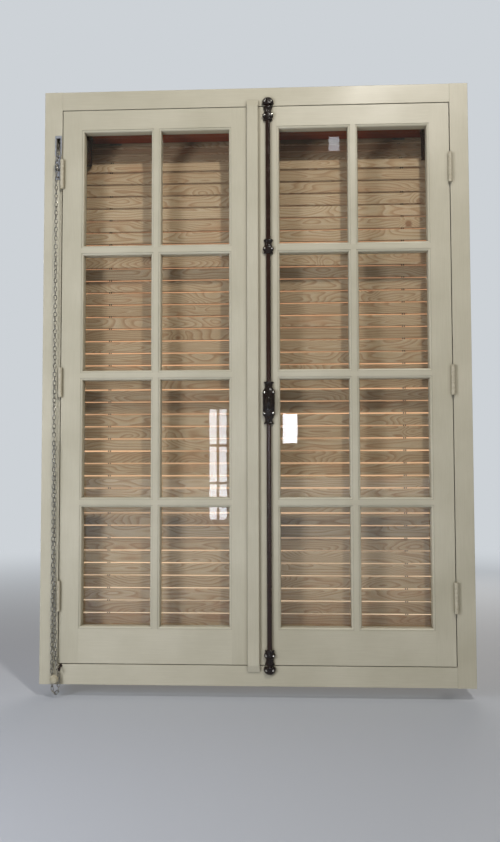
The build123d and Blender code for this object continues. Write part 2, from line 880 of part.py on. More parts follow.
case_screws = [
    (bolt_x + sx * lobe_x, -case_depth, bolt_z + sz * lobe_z) for sx in (-1, 1) for sz in (-1, 1)
]
guide_screws = [
    (bolt_x + sx * lobe_spacing / 2, -guide_depth, z + offset)
    for sx in (-1, 1)
    for z, offset in guide_places
]
save(screw_heads(case_screws + guide_screws), "bolt_screws")
keeper_screw_levels = (
    head_inner_z + keeper_centre + keeper_screw_rise,
    sill_face - keeper_centre - keeper_screw_rise,
)
keeper_screws = [
    (bolt_x + sx * keeper_screw_spacing / 2, -keeper_depth, z)
    for sx in (-1, 1)
    for z in keeper_screw_levels
]
plate_screw_levels = (plate_bottom_z + plate_screw_inset, plate_bottom_z + plate_height - plate_screw_inset)
plate_screws = [(chain_x, -plate_thickness, z) for z in plate_screw_levels]
save(screw_heads(keeper_screws + plate_screws), "fixing_screws")


# Shutter curtain: slats with a rounded top edge and a hollowed bottom edge
def slat_section(thickness, height):
    half = thickness / 2
    with BuildSketch() as section:
        with BuildLine():
            Polyline(
                (-half, 0),
                (-half * 0.5, slat_hollow),
                (half * 0.5, slat_hollow),
                (half, 0),
                (half, height - half * 0.7),
                (half * 0.5, height),
                (-half * 0.5, height),
                (-half, height - half * 0.7),
                (-half, 0),
            )
        make_face()
    return section.sketch


def slat_plane(y, z, tilt):
    # v of the section runs up the slat, leaning outwards by the tilt
    up = Vector(0, sin(tilt), cos(tilt))
    out = Vector(0, cos(tilt), -sin(tilt))
    return Plane(origin=(-slat_length / 2, y, z), x_dir=out, z_dir=out.cross(up))


plain_slat = slat_section(slat_thickness, slat_height)
with BuildPart() as shutter_slats:
    for k in range(slat_count):
        with BuildSketch(slat_plane(curtain_y, first_gap_z + k * slat_pitch + slat_gap / 2, 0)):
            add(plain_slat)
    extrude(amount=slat_length)
save(shutter_slats.part, "shutter_slats")

hook_columns = (-hook_spacing, 0, hook_spacing)
gap_levels = [first_gap_z + k * slat_pitch for k in range(slat_count)]
with BuildPart() as shutter_hooks:
    with Locations(*[(x, curtain_y, z) for z in gap_levels for x in hook_columns]):
        Box(2 * hook_radius, hook_radius, slat_gap + 2 * hook_embed)
save(shutter_hooks.part, "shutter_hooks")

with BuildPart() as bottom_bar:
    with BuildSketch(slat_plane(curtain_y, bottom_bar_z, 0)):
        Rectangle(bottom_bar_thickness, bottom_bar_height, align=(Align.CENTER, Align.MIN))
    extrude(amount=slat_length)
    fillet(bottom_bar.edges().filter_by(Axis.X).group_by(Axis.Z)[-1], bottom_bar_round)
    drip_edge = bottom_bar.edges().filter_by(Axis.X).group_by(Axis.Z)[0].sort_by(Axis.Y)[-1:]
    chamfer(drip_edge, bottom_bar_round)
save(bottom_bar.part, "shutter_bottom_bar")

# The slats above lean outwards towards the winding drum
path_y = curtain_y
path_z = curtain_top_z
leaning_places = []
for tilt in (bent, *[lean] * leaning_slat_count):
    leaning_places.append((path_y, path_z, tilt))
    path_y += slat_pitch * sin(tilt)
    path_z += slat_pitch * cos(tilt)
lean_end_y = path_y
lean_end_z = path_z
with BuildPart() as leaning_slats:
    for y, z, tilt in leaning_places:
        base_y = y + slat_gap / 2 * sin(tilt)
        base_z = z + slat_gap / 2 * cos(tilt)
        with BuildSketch(slat_plane(base_y, base_z, tilt)):
            add(plain_slat)
        extrude(amount=slat_length)
save(leaning_slats.part, "leaning_slats")

with BuildPart() as leaning_hooks:
    for y, z, tilt in leaning_places[1:]:
        leaning_hook_places = [Location((x, y, z), (-degrees(tilt), 0, 0)) for x in hook_columns]
        with Locations(*leaning_hook_places):
            Box(2 * hook_radius, hook_radius, slat_gap + 2 * hook_embed)
save(leaning_hooks.part, "leaning_hooks")

# Drum place: its straps run tangent to the front face of the leaning slats
strap_face = drum_radius + strap_thickness + strap_play
axis_offset = strap_face + strap_thickness + slat_thickness / 2
tangent_run = (drum_z - lean_end_z - axis_offset * sin(lean)) / cos(lean)
drum_y = lean_end_y + tangent_run * sin(lean) - axis_offset * cos(lean)
drum_axis = Plane(origin=(0, drum_y, drum_z), x_dir=(0, 1, 0), z_dir=(1, 0, 0))
drum_half = lining_inner_x - drum_end_play - bearing_thickness


def along_drum(low_x):
    return drum_axis.offset(low_x)


with BuildPart() as drum_tube:
    with BuildSketch(along_drum(-drum_half)):
        Circle(drum_radius)
        Circle(drum_radius - drum_wall, mode=Mode.SUBTRACT)
    extrude(amount=2 * drum_half)
save(drum_tube.part, "drum_tube")

with BuildPart() as strap_turns:
    for x in hook_columns:
        with BuildSketch(along_drum(x - strap_width / 2)):
            Circle(drum_radius + strap_thickness)
            Circle(drum_radius, mode=Mode.SUBTRACT)
        extrude(amount=strap_width)
save(strap_turns.part, "strap_turns")

# Strap tails lie on the front face of the top slat and reach up to the drum
with BuildPart() as strap_tails:
    tail_plane = Plane(
        origin=(0, lean_end_y, lean_end_z),
        x_dir=(1, 0, 0),
        z_dir=(0, -cos(lean), sin(lean)),
    )
    with BuildSketch(tail_plane.offset(slat_thickness / 2)):
        with Locations(*[(x, -strap_lap) for x in hook_columns]):
            Rectangle(strap_width, strap_lap + tangent_run, align=(Align.CENTER, Align.MIN))
    extrude(amount=strap_thickness)
save(strap_tails.part, "strap_tails")

# Shaft with the drum's end discs, running in both bearings and on to the reel outside
reel_outer_half = reel_inner_width / 2 + reel_flange_thickness
shaft_left_x = chain_x - reel_outer_half - shaft_overhang
with BuildPart() as drum_shaft:
    with BuildSketch(along_drum(shaft_left_x)):
        Circle(shaft_radius)
    extrude(amount=lining_inner_x + lining_thickness / 2 - shaft_left_x)
    for x in (-drum_half, drum_half - end_disc_thickness):
        with BuildSketch(along_drum(x)):
            Circle(drum_radius - drum_wall)
        extrude(amount=end_disc_thickness)
save(drum_shaft.part, "drum_shaft")

with BuildPart() as chain_reel:
    with BuildSketch(along_drum(chain_x - reel_outer_half)):
        Circle(reel_flange_radius)
    extrude(amount=reel_flange_thickness)
    with BuildSketch(along_drum(chain_x - reel_inner_width / 2)):
        Circle(reel_hub_radius)
    extrude(amount=reel_inner_width)
    with BuildSketch(along_drum(chain_x + reel_inner_width / 2)):
        Circle(reel_flange_radius)
    extrude(amount=reel_flange_thickness)
    with BuildSketch(along_drum(chain_x - reel_outer_half)):
        Circle(shaft_radius + shaft_play)
    extrude(amount=2 * reel_outer_half, mode=Mode.SUBTRACT)
save(chain_reel.part, "chain_reel")

with BuildPart() as drum_bearings:
    for x in (-lining_inner_x, lining_inner_x - bearing_thickness):
        with BuildSketch(along_drum(x)):
            RegularPolygon(bearing_size / 2, 8, rotation=22.5)
            Circle(shaft_radius + shaft_play, mode=Mode.SUBTRACT)
        extrude(amount=bearing_thickness)
save(drum_bearings.part, "drum_bearings")

# Side linings: narrow beside the window, deep beside the box
lambrequin_low_z = box_inner_top_z - lambrequin_drop
lining_rear_y = frame_rear_y + lining_depth
with BuildPart() as right_lining:
    with BuildSketch(Plane(origin=(lining_inner_x, 0, 0), x_dir=(0, 1, 0), z_dir=(1, 0, 0))):
        with BuildLine():
            Polyline(
                (frame_rear_y, 0),
                (lining_rear_y, 0),
                (lining_rear_y, lambrequin_low_z - 0.6 * (box_rear_y - lining_rear_y)),
                (box_rear_y, lambrequin_low_z + 0.4 * (box_rear_y - lining_rear_y)),
                (box_rear_y, box_inner_top_z),
                (frame_rear_y, box_inner_top_z),
                (frame_rear_y, 0),
            )
        make_face()
    extrude(amount=lining_thickness)
    with BuildSketch(along_drum(lining_inner_x)):
        Circle(shaft_radius + shaft_hole_play)
    extrude(amount=lining_thickness, mode=Mode.SUBTRACT)
save(right_lining.part, "right_lining_board")
save(mirrored(right_lining.part), "left_lining_board")

with BuildPart() as right_guide:
    with BuildSketch(Plane.XY):
        channel_half = slat_thickness / 2 + guide_play + guide_web
        with Locations((lining_inner_x, curtain_y)):
            Rectangle(guide_leg, 2 * channel_half, align=(Align.MAX, Align.CENTER))
        with Locations((lining_inner_x - guide_web, curtain_y)):
            Rectangle(
                guide_leg,
                2 * (channel_half - guide_web),
                align=(Align.MAX, Align.CENTER),
                mode=Mode.SUBTRACT,
            )
    extrude(amount=curtain_top_z - guide_top_play)
save(right_guide.part, "right_shutter_guide")
save(mirrored(right_guide.part), "left_shutter_guide")

# Box round the drum
full_box_width = 2 * (lining_inner_x + lining_thickness)
with BuildPart() as soffit:
    with Locations((0, frame_rear_y, soffit_z)):
        Box(
            2 * lining_inner_x,
            soffit_depth,
            box_board,
            align=(Align.CENTER, Align.MIN, Align.MIN),
        )
    fillet(soffit.edges().filter_by(Axis.X).group_by(Axis.Y)[-1], box_board / 3)
save(soffit.part, "soffit_board")

with BuildPart() as box_front:
    with Locations((0, frame_rear_y, soffit_z + box_board)):
        Box(
            2 * lining_inner_x,
            box_board,
            box_inner_top_z - soffit_z - box_board,
            align=(Align.CENTER, Align.MIN, Align.MIN),
        )
save(box_front.part, "box_front_board")

with BuildPart() as box_top:
    with Locations((0, frame_rear_y, box_inner_top_z)):
        Box(
            full_box_width,
            box_inner_depth + lambrequin_thickness,
            box_board,
            align=(Align.CENTER, Align.MIN, Align.MIN),
        )
save(box_top.part, "box_top_board")

# Lambrequin: the board that hides the roll outside
with BuildPart() as lambrequin:
    with Locations((0, box_rear_y, lambrequin_low_z)):
        Box(
            full_box_width,
            lambrequin_thickness,
            lambrequin_drop,
            align=(Align.CENTER, Align.MIN, Align.MIN),
        )
    lower_edge = lambrequin.edges().filter_by(Axis.X).group_by(Axis.Z)[0].sort_by(Axis.Y)[-1:]
    chamfer(lower_edge, lambrequin_thickness / 2)
save(lambrequin.part, "lambrequin_board")

# Corner blocks under the soffit, in front of the slat ends
with BuildPart() as right_block:
    block_plane = Plane(
        origin=(lining_inner_x - cheek_block_width, 0, 0),
        x_dir=(0, 1, 0),
        z_dir=(1, 0, 0),
    )
    with BuildSketch(block_plane):
        with BuildLine():
            block_low_z = soffit_z - cheek_block_height
            slat_front_y = curtain_y - slat_thickness / 2 - cheek_block_play
            slope_start_z = curtain_top_z + curtain_travel
            Polyline(
                (frame_rear_y, block_low_z),
                (slat_front_y, block_low_z),
                (slat_front_y, slope_start_z),
                (slat_front_y + (soffit_z - slope_start_z) * sin(lean) * 0.8, soffit_z),
                (frame_rear_y, soffit_z),
                (frame_rear_y, block_low_z),
            )
        make_face()
    extrude(amount=cheek_block_width)
save(group([right_block.part, mirrored(right_block.part)]), "cheek_blocks")

# Chain guide on the left jamb: plate with two ears and a pulley between them
ear_inner = pulley_width / 2 + pulley_side_play
with BuildPart() as chain_plate:
    with BuildSketch(Plane.XZ):
        with Locations((chain_x, plate_bottom_z + plate_height / 2)):
            Rectangle(plate_width, plate_height)
        with Locations((chain_x, pulley_z)):
            Rectangle(2 * ear_inner, 2 * (pulley_radius + pulley_side_play), mode=Mode.SUBTRACT)
    extrude(amount=plate_thickness)
    for x in (chain_x - ear_inner - ear_thickness, chain_x + ear_inner):
        with BuildSketch(Plane(origin=(x, 0, 0), x_dir=(0, 1, 0), z_dir=(1, 0, 0))):
            with Locations((pulley_y, pulley_z)):
                Circle(ear_radius)
                Rectangle(-pulley_y, 2 * ear_radius, align=(Align.MIN, Align.CENTER))
            with Locations((0, pulley_z)):
                Rectangle(
                    4 * ear_radius,
                    4 * ear_radius,
                    align=(Align.MIN, Align.CENTER),
                    mode=Mode.SUBTRACT,
                )
            with Locations((pulley_y, pulley_z)):
                Circle(pulley_pin_radius, mode=Mode.SUBTRACT)
        extrude(amount=ear_thickness)

pulley_axis = Plane(origin=(chain_x, pulley_y, pulley_z), x_dir=(0, 1, 0), z_dir=(1, 0, 0))
with BuildPart() as pulley_pin:
    with BuildSketch(pulley_axis.offset(-ear_inner - ear_thickness)):
        Circle(pulley_pin_radius)
    extrude(amount=2 * (ear_inner + ear_thickness))
save(pulley_pin.part, "pulley_pin")

with BuildPart() as chain_pulley:
    with BuildSketch(pulley_axis.offset(-pulley_width / 2)):
        Circle(pulley_radius)
    extrude(amount=pulley_width)
    with BuildSketch(pulley_axis.offset(-pulley_rim_gap / 2)):
        Circle(pulley_radius)
        Circle(pulley_radius - pulley_groove, mode=Mode.SUBTRACT)
    extrude(amount=pulley_rim_gap, mode=Mode.SUBTRACT)
    with BuildSketch(pulley_axis.offset(-pulley_width / 2)):
        Circle(pulley_pin_radius + pin_play)
    extrude(amount=pulley_width, mode=Mode.SUBTRACT)
save(chain_pulley.part, "chain_pulley")

# Turned knob and hook that hold the chain at the bottom
chain_knob_x = chain_x + chain_knob_offset
chain_hook_x = chain_x + chain_hook_offset
with BuildPart() as chain_knob:
    with BuildSketch(Plane(origin=(chain_knob_x, 0, chain_knob_z), x_dir=(1, 0, 0), z_dir=(0, 0, 1))):
        with BuildLine():
            Polyline(
                (0, -chain_knob_depth),
                (0, 0),
                (chain_knob_neck, 0),
                (chain_knob_neck, -chain_knob_neck_length),
                (chain_knob_radius, -chain_knob_neck_length),
                (chain_knob_radius, -chain_knob_shoulder),
                (chain_knob_face, -chain_knob_depth),
                (0, -chain_knob_depth),
            )
        make_face()
    revolve(axis=Axis((chain_knob_x, 0, chain_knob_z), (0, 1, 0)))

with BuildPart() as chain_hook:
    with BuildLine() as hook_line:
        Polyline(
            (chain_hook_x, 0, chain_hook_z),
            (chain_hook_x, -chain_hook_reach / 2, chain_hook_z),
            (chain_hook_x, -chain_hook_reach / 2, chain_hook_z - chain_hook_drop),
            (chain_hook_x, -chain_hook_reach, chain_hook_z - chain_hook_drop),
            (chain_hook_x, -chain_hook_reach, chain_hook_z),
        )
    with BuildSketch(Plane.XZ):
        with Locations((chain_hook_x, chain_hook_z)):
            RegularPolygon(chain_hook_wire, 8)
    sweep(path=hook_line.line, transition=Transition.RIGHT)
save(group([chain_plate.part, chain_knob.part, chain_hook.part]), "chain_fittings")

# Operating chain. It leaves the reel on the line that touches the reel's hub and the slot's mouth.
wrap_radius = reel_hub_radius + link_width / 2 + wrap_play
mouth_z = slot_low_z + slot_height / 2
reel_distance = hypot(drum_y, drum_z - mouth_z)
run_angle = atan2(drum_z - mouth_z, drum_y) + asin(wrap_radius / reel_distance)
leave_y = drum_y - wrap_radius * sin(run_angle)
leave_z = drum_z + wrap_radius * cos(run_angle)
chain_front_y = pulley_y - pulley_radius - link_width / 2 - wrap_play
with BuildLine(Plane.YZ.offset(chain_x)) as wrap:
    wrap_start = degrees(run_angle) + 90 - wrap_degrees
    CenterArc((drum_y, drum_z), wrap_radius, wrap_start, wrap_degrees)
with BuildLine() as hanging:
    FilletPolyline(
        (chain_x, leave_y, leave_z),
        (chain_x, 0, mouth_z),
        (chain_x, chain_front_y, pulley_z + 2),
        (chain_x + strand_offset, strand_y, tail_join_z),
        (chain_x + strand_offset, strand_y, chain_knob_z),
        (chain_x + loop_offset, strand_y, chain_loop_z),
        (chain_x + loop_offset + loop_width, strand_y, chain_loop_z),
        (chain_x + loop_return, strand_y, chain_knob_z),
        (chain_x + tail_offset, strand_y - tail_step, tail_join_z),
        (chain_x + tail_hinge_offset, strand_y - tail_hinge_step, tail_hinge_z),
        (chain_x + tail_top_offset, strand_y - tail_top_step, tail_top_z),
        radius=chain_bend,
    )
route = Wire([*wrap.edges(), *hanging.edges()])
link_total = floor(route.length / link_pitch)
with BuildPart() as link:
    with BuildSketch(Plane.XZ.offset(-wire / 2)):
        Rectangle(link_width, link_inner_length + 2 * wire)
        Rectangle(link_width - 2 * wire, link_inner_length, mode=Mode.SUBTRACT)
    extrude(amount=wire)
links = []
for k in range(link_total):
    start = route.position_at(k * link_pitch, position_mode=PositionMode.LENGTH)
    end = route.position_at((k + 1) * link_pitch, position_mode=PositionMode.LENGTH)
    along = (end - start).normalized()
    side = along.cross(Vector(1, 0, 0)).normalized()
    across = side.cross(along) if k % 2 == 0 else side
    place = Plane(origin=(start + end) * 0.5, x_dir=across, z_dir=along)
    links.append(link.part.moved(place.location))
save(group(links), "operating_chain")
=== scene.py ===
import math
import random

import bmesh
import bpy
from mathutils import Matrix, Vector


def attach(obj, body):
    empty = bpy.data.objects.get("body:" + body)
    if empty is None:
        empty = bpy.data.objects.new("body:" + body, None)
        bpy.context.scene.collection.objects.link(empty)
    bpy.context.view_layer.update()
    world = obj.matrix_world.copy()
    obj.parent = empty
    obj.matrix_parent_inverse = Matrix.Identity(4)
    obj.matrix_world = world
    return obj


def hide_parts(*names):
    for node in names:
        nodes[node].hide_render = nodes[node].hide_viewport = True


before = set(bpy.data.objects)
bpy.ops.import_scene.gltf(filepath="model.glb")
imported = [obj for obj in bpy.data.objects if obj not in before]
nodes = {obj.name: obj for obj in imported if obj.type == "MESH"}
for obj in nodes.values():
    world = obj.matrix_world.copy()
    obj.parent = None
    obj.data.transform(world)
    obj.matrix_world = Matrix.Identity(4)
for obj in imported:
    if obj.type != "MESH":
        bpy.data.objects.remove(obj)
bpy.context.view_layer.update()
scene = bpy.context.scene
scene.view_settings.view_transform = "Standard"
frontToMiddle = 31  # mm from the drawing's zero at the room face to the frame's own in its middle
print("frame loaded,", len(nodes), "nodes")


def at(x, y, z):
    # drawing millimetres to metres in the row frame
    return Vector((x / 1000, (y - frontToMiddle) / 1000, z / 1000))


# Camera, found from the corners of the frame and the panes in the photograph: metres, degrees, mm
cameraSetup = {"place": (0.1001, -2.4926, 0.6834), "tilt": 2.855, "roll": 0.135, "pan": 2.668,
               "lens": 34.2, "film": 36}


def placeCamera():
    data = bpy.data.cameras.new("camera")
    data.sensor_fit = "VERTICAL"
    data.sensor_height = cameraSetup["film"]
    data.sensor_width = cameraSetup["film"]
    data.lens = cameraSetup["lens"]
    camera = bpy.data.objects.new("camera", data)
    scene.collection.objects.link(camera)
    looking = Matrix.Identity(3)
    for turn, axis in (("pan", "Z"), ("roll", "Y"), ("tilt", "X")):
        looking = looking @ Matrix.Rotation(math.radians(cameraSetup[turn]), 3, axis)
    axes = Matrix((looking.col[0], looking.col[2], -looking.col[1])).transposed()
    camera.matrix_world = Matrix.Translation(cameraSetup["place"]) @ axes.to_4x4()
    scene.camera = camera


placeCamera()


def linear(hexColour):
    parts = [int(hexColour[i : i + 2], 16) / 255 for i in (1, 3, 5)]
    return [p / 12.92 if p <= 0.04045 else ((p + 0.055) / 1.055) ** 2.4 for p in parts] + [1.0]


# a colour Mix takes its share at input 0 and its two colours at 6 and 7
blend = {"data_type": "RGBA"}
multiply = {"data_type": "RGBA", "blend_type": "MULTIPLY"}


def add(tree, kind, settings, feeds):
    # One shader node with its settings, a ramp's stops, and its inputs, fixed or linked.
    # A node as a feed stands for its first output, and a colour Mix for its third, the colour.
    made = tree.nodes.new("ShaderNode" + kind)
    for key, value in settings.items():
        if key != "stops":
            setattr(made, key, value)
    for index, (spot, colour) in enumerate(settings.get("stops", [])):
        stops = made.color_ramp.elements
        stop = stops[index] if index < 2 else stops.new(spot)
        stop.position = spot
        stop.color = linear(colour) if isinstance(colour, str) else (colour, colour, colour, 1)
    for key, value in feeds.items():
        if isinstance(value, bpy.types.Node):
            value = value.outputs[2 if value.bl_idname == "ShaderNodeMix" else 0]
        if isinstance(value, bpy.types.NodeSocket):
            tree.links.new(value, made.inputs[key])
        else:
            made.inputs[key].default_value = value
    return made


def start(name):
    finish = bpy.data.materials.new(name)
    finish.use_nodes = True
    tree = finish.node_tree
    tree.nodes.clear()
    return finish, tree, add(tree, "TexCoord", {}, {}).outputs["Object"]


def creamEnamel(name, along, drift):
    # Alkyd gloss enamel laid on wood with a brush: soft shine, fine strokes along each member,
    # colour that wanders a little, and corners greyed by grime and by painted shade from an occlusion mask.
    paint = {"fresh": "#CCC6B0", "aged": "#BEB8A1", "grimeAndShade": "#6A5F4A", "streak": "#CCC6B8"}
    # mm; a bristle's mark is 0.3 wide, drawn coarser so that it shows at arm's length
    size = {"stroke": 1.6, "run": 60, "ridge": 0.4, "cloud": 200, "corner": 13}
    finish, tree, place = start(name)
    scale = [1000 / (size["run"] if axis in along else size["stroke"]) for axis in "XYZ"]
    laid = add(tree, "Mapping", {}, {"Vector": place, "Scale": scale})
    strokes = add(tree, "TexNoise", {}, {"Vector": laid, "Scale": 1.0, "Detail": 3.0})
    moved = add(tree, "Mapping", {}, {"Vector": place, "Location": (drift, drift * 3, drift * 7)})
    cloud = add(tree, "TexNoise", {}, {"Vector": moved, "Scale": 1000 / size["cloud"], "Detail": 4.0})
    body = add(tree, "ValToRGB", {"stops": [(0.3, paint["fresh"]), (0.72, paint["aged"])]}, {"Fac": cloud})
    # painted shade with grime: where the occlusion mask finds corners and joints, the paint is darkened
    # towards the grime-and-shade colour
    corner = add(tree, "AmbientOcclusion", {"samples": 8}, {"Distance": size["corner"] / 1000})
    cornerShadeShare = add(tree, "ValToRGB", {"stops": [(0.4, 0.55), (0.95, 0.0)]}, {"Fac": corner.outputs["AO"]})
    grimedAndShaded = add(tree, "Mix", blend, {0: cornerShadeShare, 6: body, 7: linear(paint["grimeAndShade"])})
    streaks = add(tree, "ValToRGB", {"stops": [(0.35, "#FFFFFF"), (0.65, paint["streak"])]}, {"Fac": strokes})
    brushed = add(tree, "Mix", multiply, {0: 0.12, 6: grimedAndShaded, 7: streaks})
    gloss = add(tree, "ValToRGB", {"stops": [(0.2, 0.3), (0.8, 0.45)]}, {"Fac": cloud})
    bump = add(tree, "Bump", {}, {"Height": strokes, "Strength": 0.25, "Distance": size["ridge"] / 1000})
    coat = {"Base Color": brushed, "Roughness": gloss, "IOR": 1.48, "Normal": bump}
    add(tree, "OutputMaterial", {}, {"Surface": add(tree, "BsdfPrincipled", {}, coat)})
    return finish


# Flat-sawn maritime pine, planed and thinly varnished: pale early wood, soft darker late wood
# in nested flames, a few reddish knots, and every slat cut from another part of the log.
# Sizes are in mm, and "apart" is how far along and across the log two slats may be cut.
pineTone = {
    "early": "#DEC6AC", "mid": "#D8BC9E", "late": "#C19C7D", "knot": "#8E5C3E", "resin": "#CD9B78",
    "fibre": "#B5A392", "darkSlat": "#DBD1C6",
}
pineSize = {
    "ring": 8.5, "pith": 26, "sweep": 340, "near": 160, "flame": (520, 250, 111.11), "knotCell": 115,
    "fibre": (71.4, 3.33, 1.613), "ridge": 0.5, "patch": (200, 200, 41.67), "apart": (31000, 3000),
}
pineKnot = {"share": 0.2, "swirl": 3.2, "heart": 0.07, "rim": 0.12}


def cutFromLog(tree, place, pitch, firstZ):
    # a slat's own place in the log, the height within the slat, and three numbers drawn for it
    split = add(tree, "SeparateXYZ", {}, {0: place}).outputs
    height = add(tree, "Math", {"operation": "SUBTRACT"}, {0: split["Z"], 1: firstZ / 1000})
    counted = add(tree, "Math", {"operation": "DIVIDE"}, {0: height, 1: pitch})
    slat = add(tree, "Math", {"operation": "FLOOR"}, {0: counted})
    within = add(tree, "Math", {"operation": "FRACT"}, {0: counted})
    chance = add(tree, "TexWhiteNoise", {"noise_dimensions": "1D"}, {"W": slat})
    drawn = add(tree, "SeparateColor", {}, {0: chance.outputs["Color"]}).outputs
    along, across = [mm / 1000 for mm in pineSize["apart"]]
    ownX = add(tree, "Math", {"operation": "MULTIPLY_ADD"}, {0: drawn[0], 1: along, 2: split["X"]})
    ownZ = add(tree, "Math", {"operation": "MULTIPLY_ADD"}, {0: drawn[1], 1: across, 2: split["Z"]})
    board = add(tree, "CombineXYZ", {}, {0: ownX, 1: split["Y"], 2: ownZ})
    return board, within, drawn


def knotsIn(tree, board):
    # how far the rings are pulled round a knot, and the share of the knot's own colour
    cells = add(tree, "TexVoronoi", {}, {"Vector": board, "Scale": 1000 / pineSize["knotCell"]}).outputs
    rarity = add(tree, "SeparateColor", {}, {0: cells["Color"]})
    chosen = add(tree, "Math", {"operation": "GREATER_THAN"}, {0: rarity, 1: 1 - pineKnot["share"]})
    swirl = add(tree, "ValToRGB", {"stops": [(0.0, 1.0), (0.3, 0.0)]}, {"Fac": cells["Distance"]})
    swirled = add(tree, "Math", {"operation": "MULTIPLY"}, {0: swirl, 1: chosen})
    pulled = add(tree, "Math", {"operation": "MULTIPLY"}, {0: swirled, 1: pineKnot["swirl"]})
    spot = {"stops": [(pineKnot["heart"], 0.75), (pineKnot["rim"], 0.0)]}
    heart = add(tree, "ValToRGB", spot, {"Fac": cells["Distance"]})
    return pulled, add(tree, "Math", {"operation": "MULTIPLY"}, {0: heart, 1: chosen})


def growthRings(tree, board, within, offset, pulled, pitch):
    # rings are circles about the pith; the saw's cut wanders towards it and away along the slat
    centred = add(tree, "Math", {"operation": "MULTIPLY_ADD"}, {0: within, 1: pitch, 2: -pitch / 2})
    pith = {0: offset, 1: 2 * pineSize["pith"] / 1000, 2: -pineSize["pith"] / 1000}
    aside = add(tree, "Math", {"operation": "MULTIPLY_ADD"}, pith)
    shifted = add(tree, "Math", {"operation": "ADD"}, {0: centred, 1: aside})
    flames = add(tree, "Mapping", {}, {"Vector": board, "Scale": [1000 / s for s in pineSize["flame"]]})
    sway = add(tree, "TexNoise", {}, {"Vector": flames, "Scale": 1.0, "Detail": 2.0})
    cut = {0: sway, 1: pineSize["sweep"] / 1000, 2: -pineSize["near"] / 1000}
    depth = add(tree, "Math", {"operation": "MULTIPLY_ADD"}, cut)
    squares = [add(tree, "Math", {"operation": "MULTIPLY"}, {0: side, 1: side}) for side in (shifted, depth)]
    summed = add(tree, "Math", {"operation": "ADD"}, {0: squares[0], 1: squares[1]})
    radius = add(tree, "Math", {"operation": "SQRT"}, {0: summed})
    counted = {0: radius, 1: 1000 / pineSize["ring"], 2: pulled}
    rings = add(tree, "Math", {"operation": "MULTIPLY_ADD"}, counted)
    return add(tree, "Math", {"operation": "FRACT"}, {0: rings})


def pine(name, pitch, firstZ):
    finish, tree, place = start(name)
    pitch = pitch / 1000
    board, within, drawn = cutFromLog(tree, place, pitch, firstZ)
    pulled, knot = knotsIn(tree, board)
    ring = growthRings(tree, board, within, drawn[2], pulled, pitch)
    early, mid, late = pineTone["early"], pineTone["mid"], pineTone["late"]
    bands = [(0.0, early), (0.5, mid), (0.85, late), (1.0, early)]
    grain = add(tree, "ValToRGB", {"stops": bands}, {"Fac": ring})
    stretched = add(tree, "Mapping", {}, {"Vector": board, "Scale": [1000 / s for s in pineSize["fibre"]]})
    fibres = add(tree, "TexNoise", {}, {"Vector": stretched, "Scale": 1.0, "Detail": 3.0})
    thin = add(tree, "ValToRGB", {"stops": [(0.3, "#FFFFFF"), (0.7, pineTone["fibre"])]}, {"Fac": fibres})
    fibred = add(tree, "Mix", multiply, {0: 0.25, 6: grain, 7: thin})
    wide = add(tree, "Mapping", {}, {"Vector": board, "Scale": [1000 / s for s in pineSize["patch"]]})
    patch = add(tree, "TexNoise", {}, {"Vector": wide, "Scale": 1.0, "Detail": 2.0})
    resin = add(tree, "ValToRGB", {"stops": [(0.56, 0.0), (0.74, 0.45)]}, {"Fac": patch})
    warm = add(tree, "Mix", blend, {0: resin, 6: fibred, 7: linear(pineTone["resin"])})
    darker = {"stops": [(0.0, "#FFFFFF"), (1.0, pineTone["darkSlat"])]}
    shade = add(tree, "ValToRGB", darker, {"Fac": drawn[2]})
    varied = add(tree, "Mix", multiply, {0: 0.7, 6: warm, 7: shade})
    knotted = add(tree, "Mix", blend, {0: knot, 6: varied, 7: linear(pineTone["knot"])})
    bump = add(tree, "Bump", {}, {"Height": fibres, "Strength": 0.2, "Distance": pineSize["ridge"] / 1000})
    skin = {"Base Color": knotted, "Roughness": 0.6, "Specular IOR Level": 0.25, "Normal": bump}
    add(tree, "OutputMaterial", {}, {"Surface": add(tree, "BsdfPrincipled", {}, skin)})
    return finish


def castIron(name, smooth):
    # Cast iron under old brown-black lacquer: sandy casting skin, high spots rubbed to a dull
    # brown, a reddish tone where the lacquer has thinned.
    iron = {"lacquer": "#120806", "thin": "#1F1009", "rub": "#4A2C20"}
    size = {"sand": 0.9, "pit": 0.4, "patch": 16}  # mm
    finish, tree, place = start(name)
    sand = add(tree, "TexNoise", {}, {"Vector": place, "Scale": 1000 / size["sand"], "Detail": 2.0})
    patch = add(tree, "TexNoise", {}, {"Vector": place, "Scale": 1000 / size["patch"], "Detail": 3.0})
    base = add(tree, "ValToRGB", {"stops": [(0.42, iron["lacquer"]), (0.75, iron["thin"])]}, {"Fac": patch})
    edge = add(tree, "NewGeometry", {}, {}).outputs["Pointiness"]
    rubbed = add(tree, "ValToRGB", {"stops": [(0.53, 0.0), (0.64, 0.5)]}, {"Fac": edge})
    worn = add(tree, "Mix", blend, {0: rubbed, 6: base, 7: linear(iron["rub"])})
    gloss = add(tree, "ValToRGB", {"stops": [(0.3, smooth), (0.8, smooth + 0.16)]}, {"Fac": patch})
    bump = add(tree, "Bump", {}, {"Height": sand, "Strength": 0.25, "Distance": size["pit"] / 1000})
    skin = {"Base Color": worn, "Roughness": gloss, "IOR": 1.5, "Specular IOR Level": 0.45, "Normal": bump}
    add(tree, "OutputMaterial", {}, {"Surface": add(tree, "BsdfPrincipled", {}, skin)})
    return finish


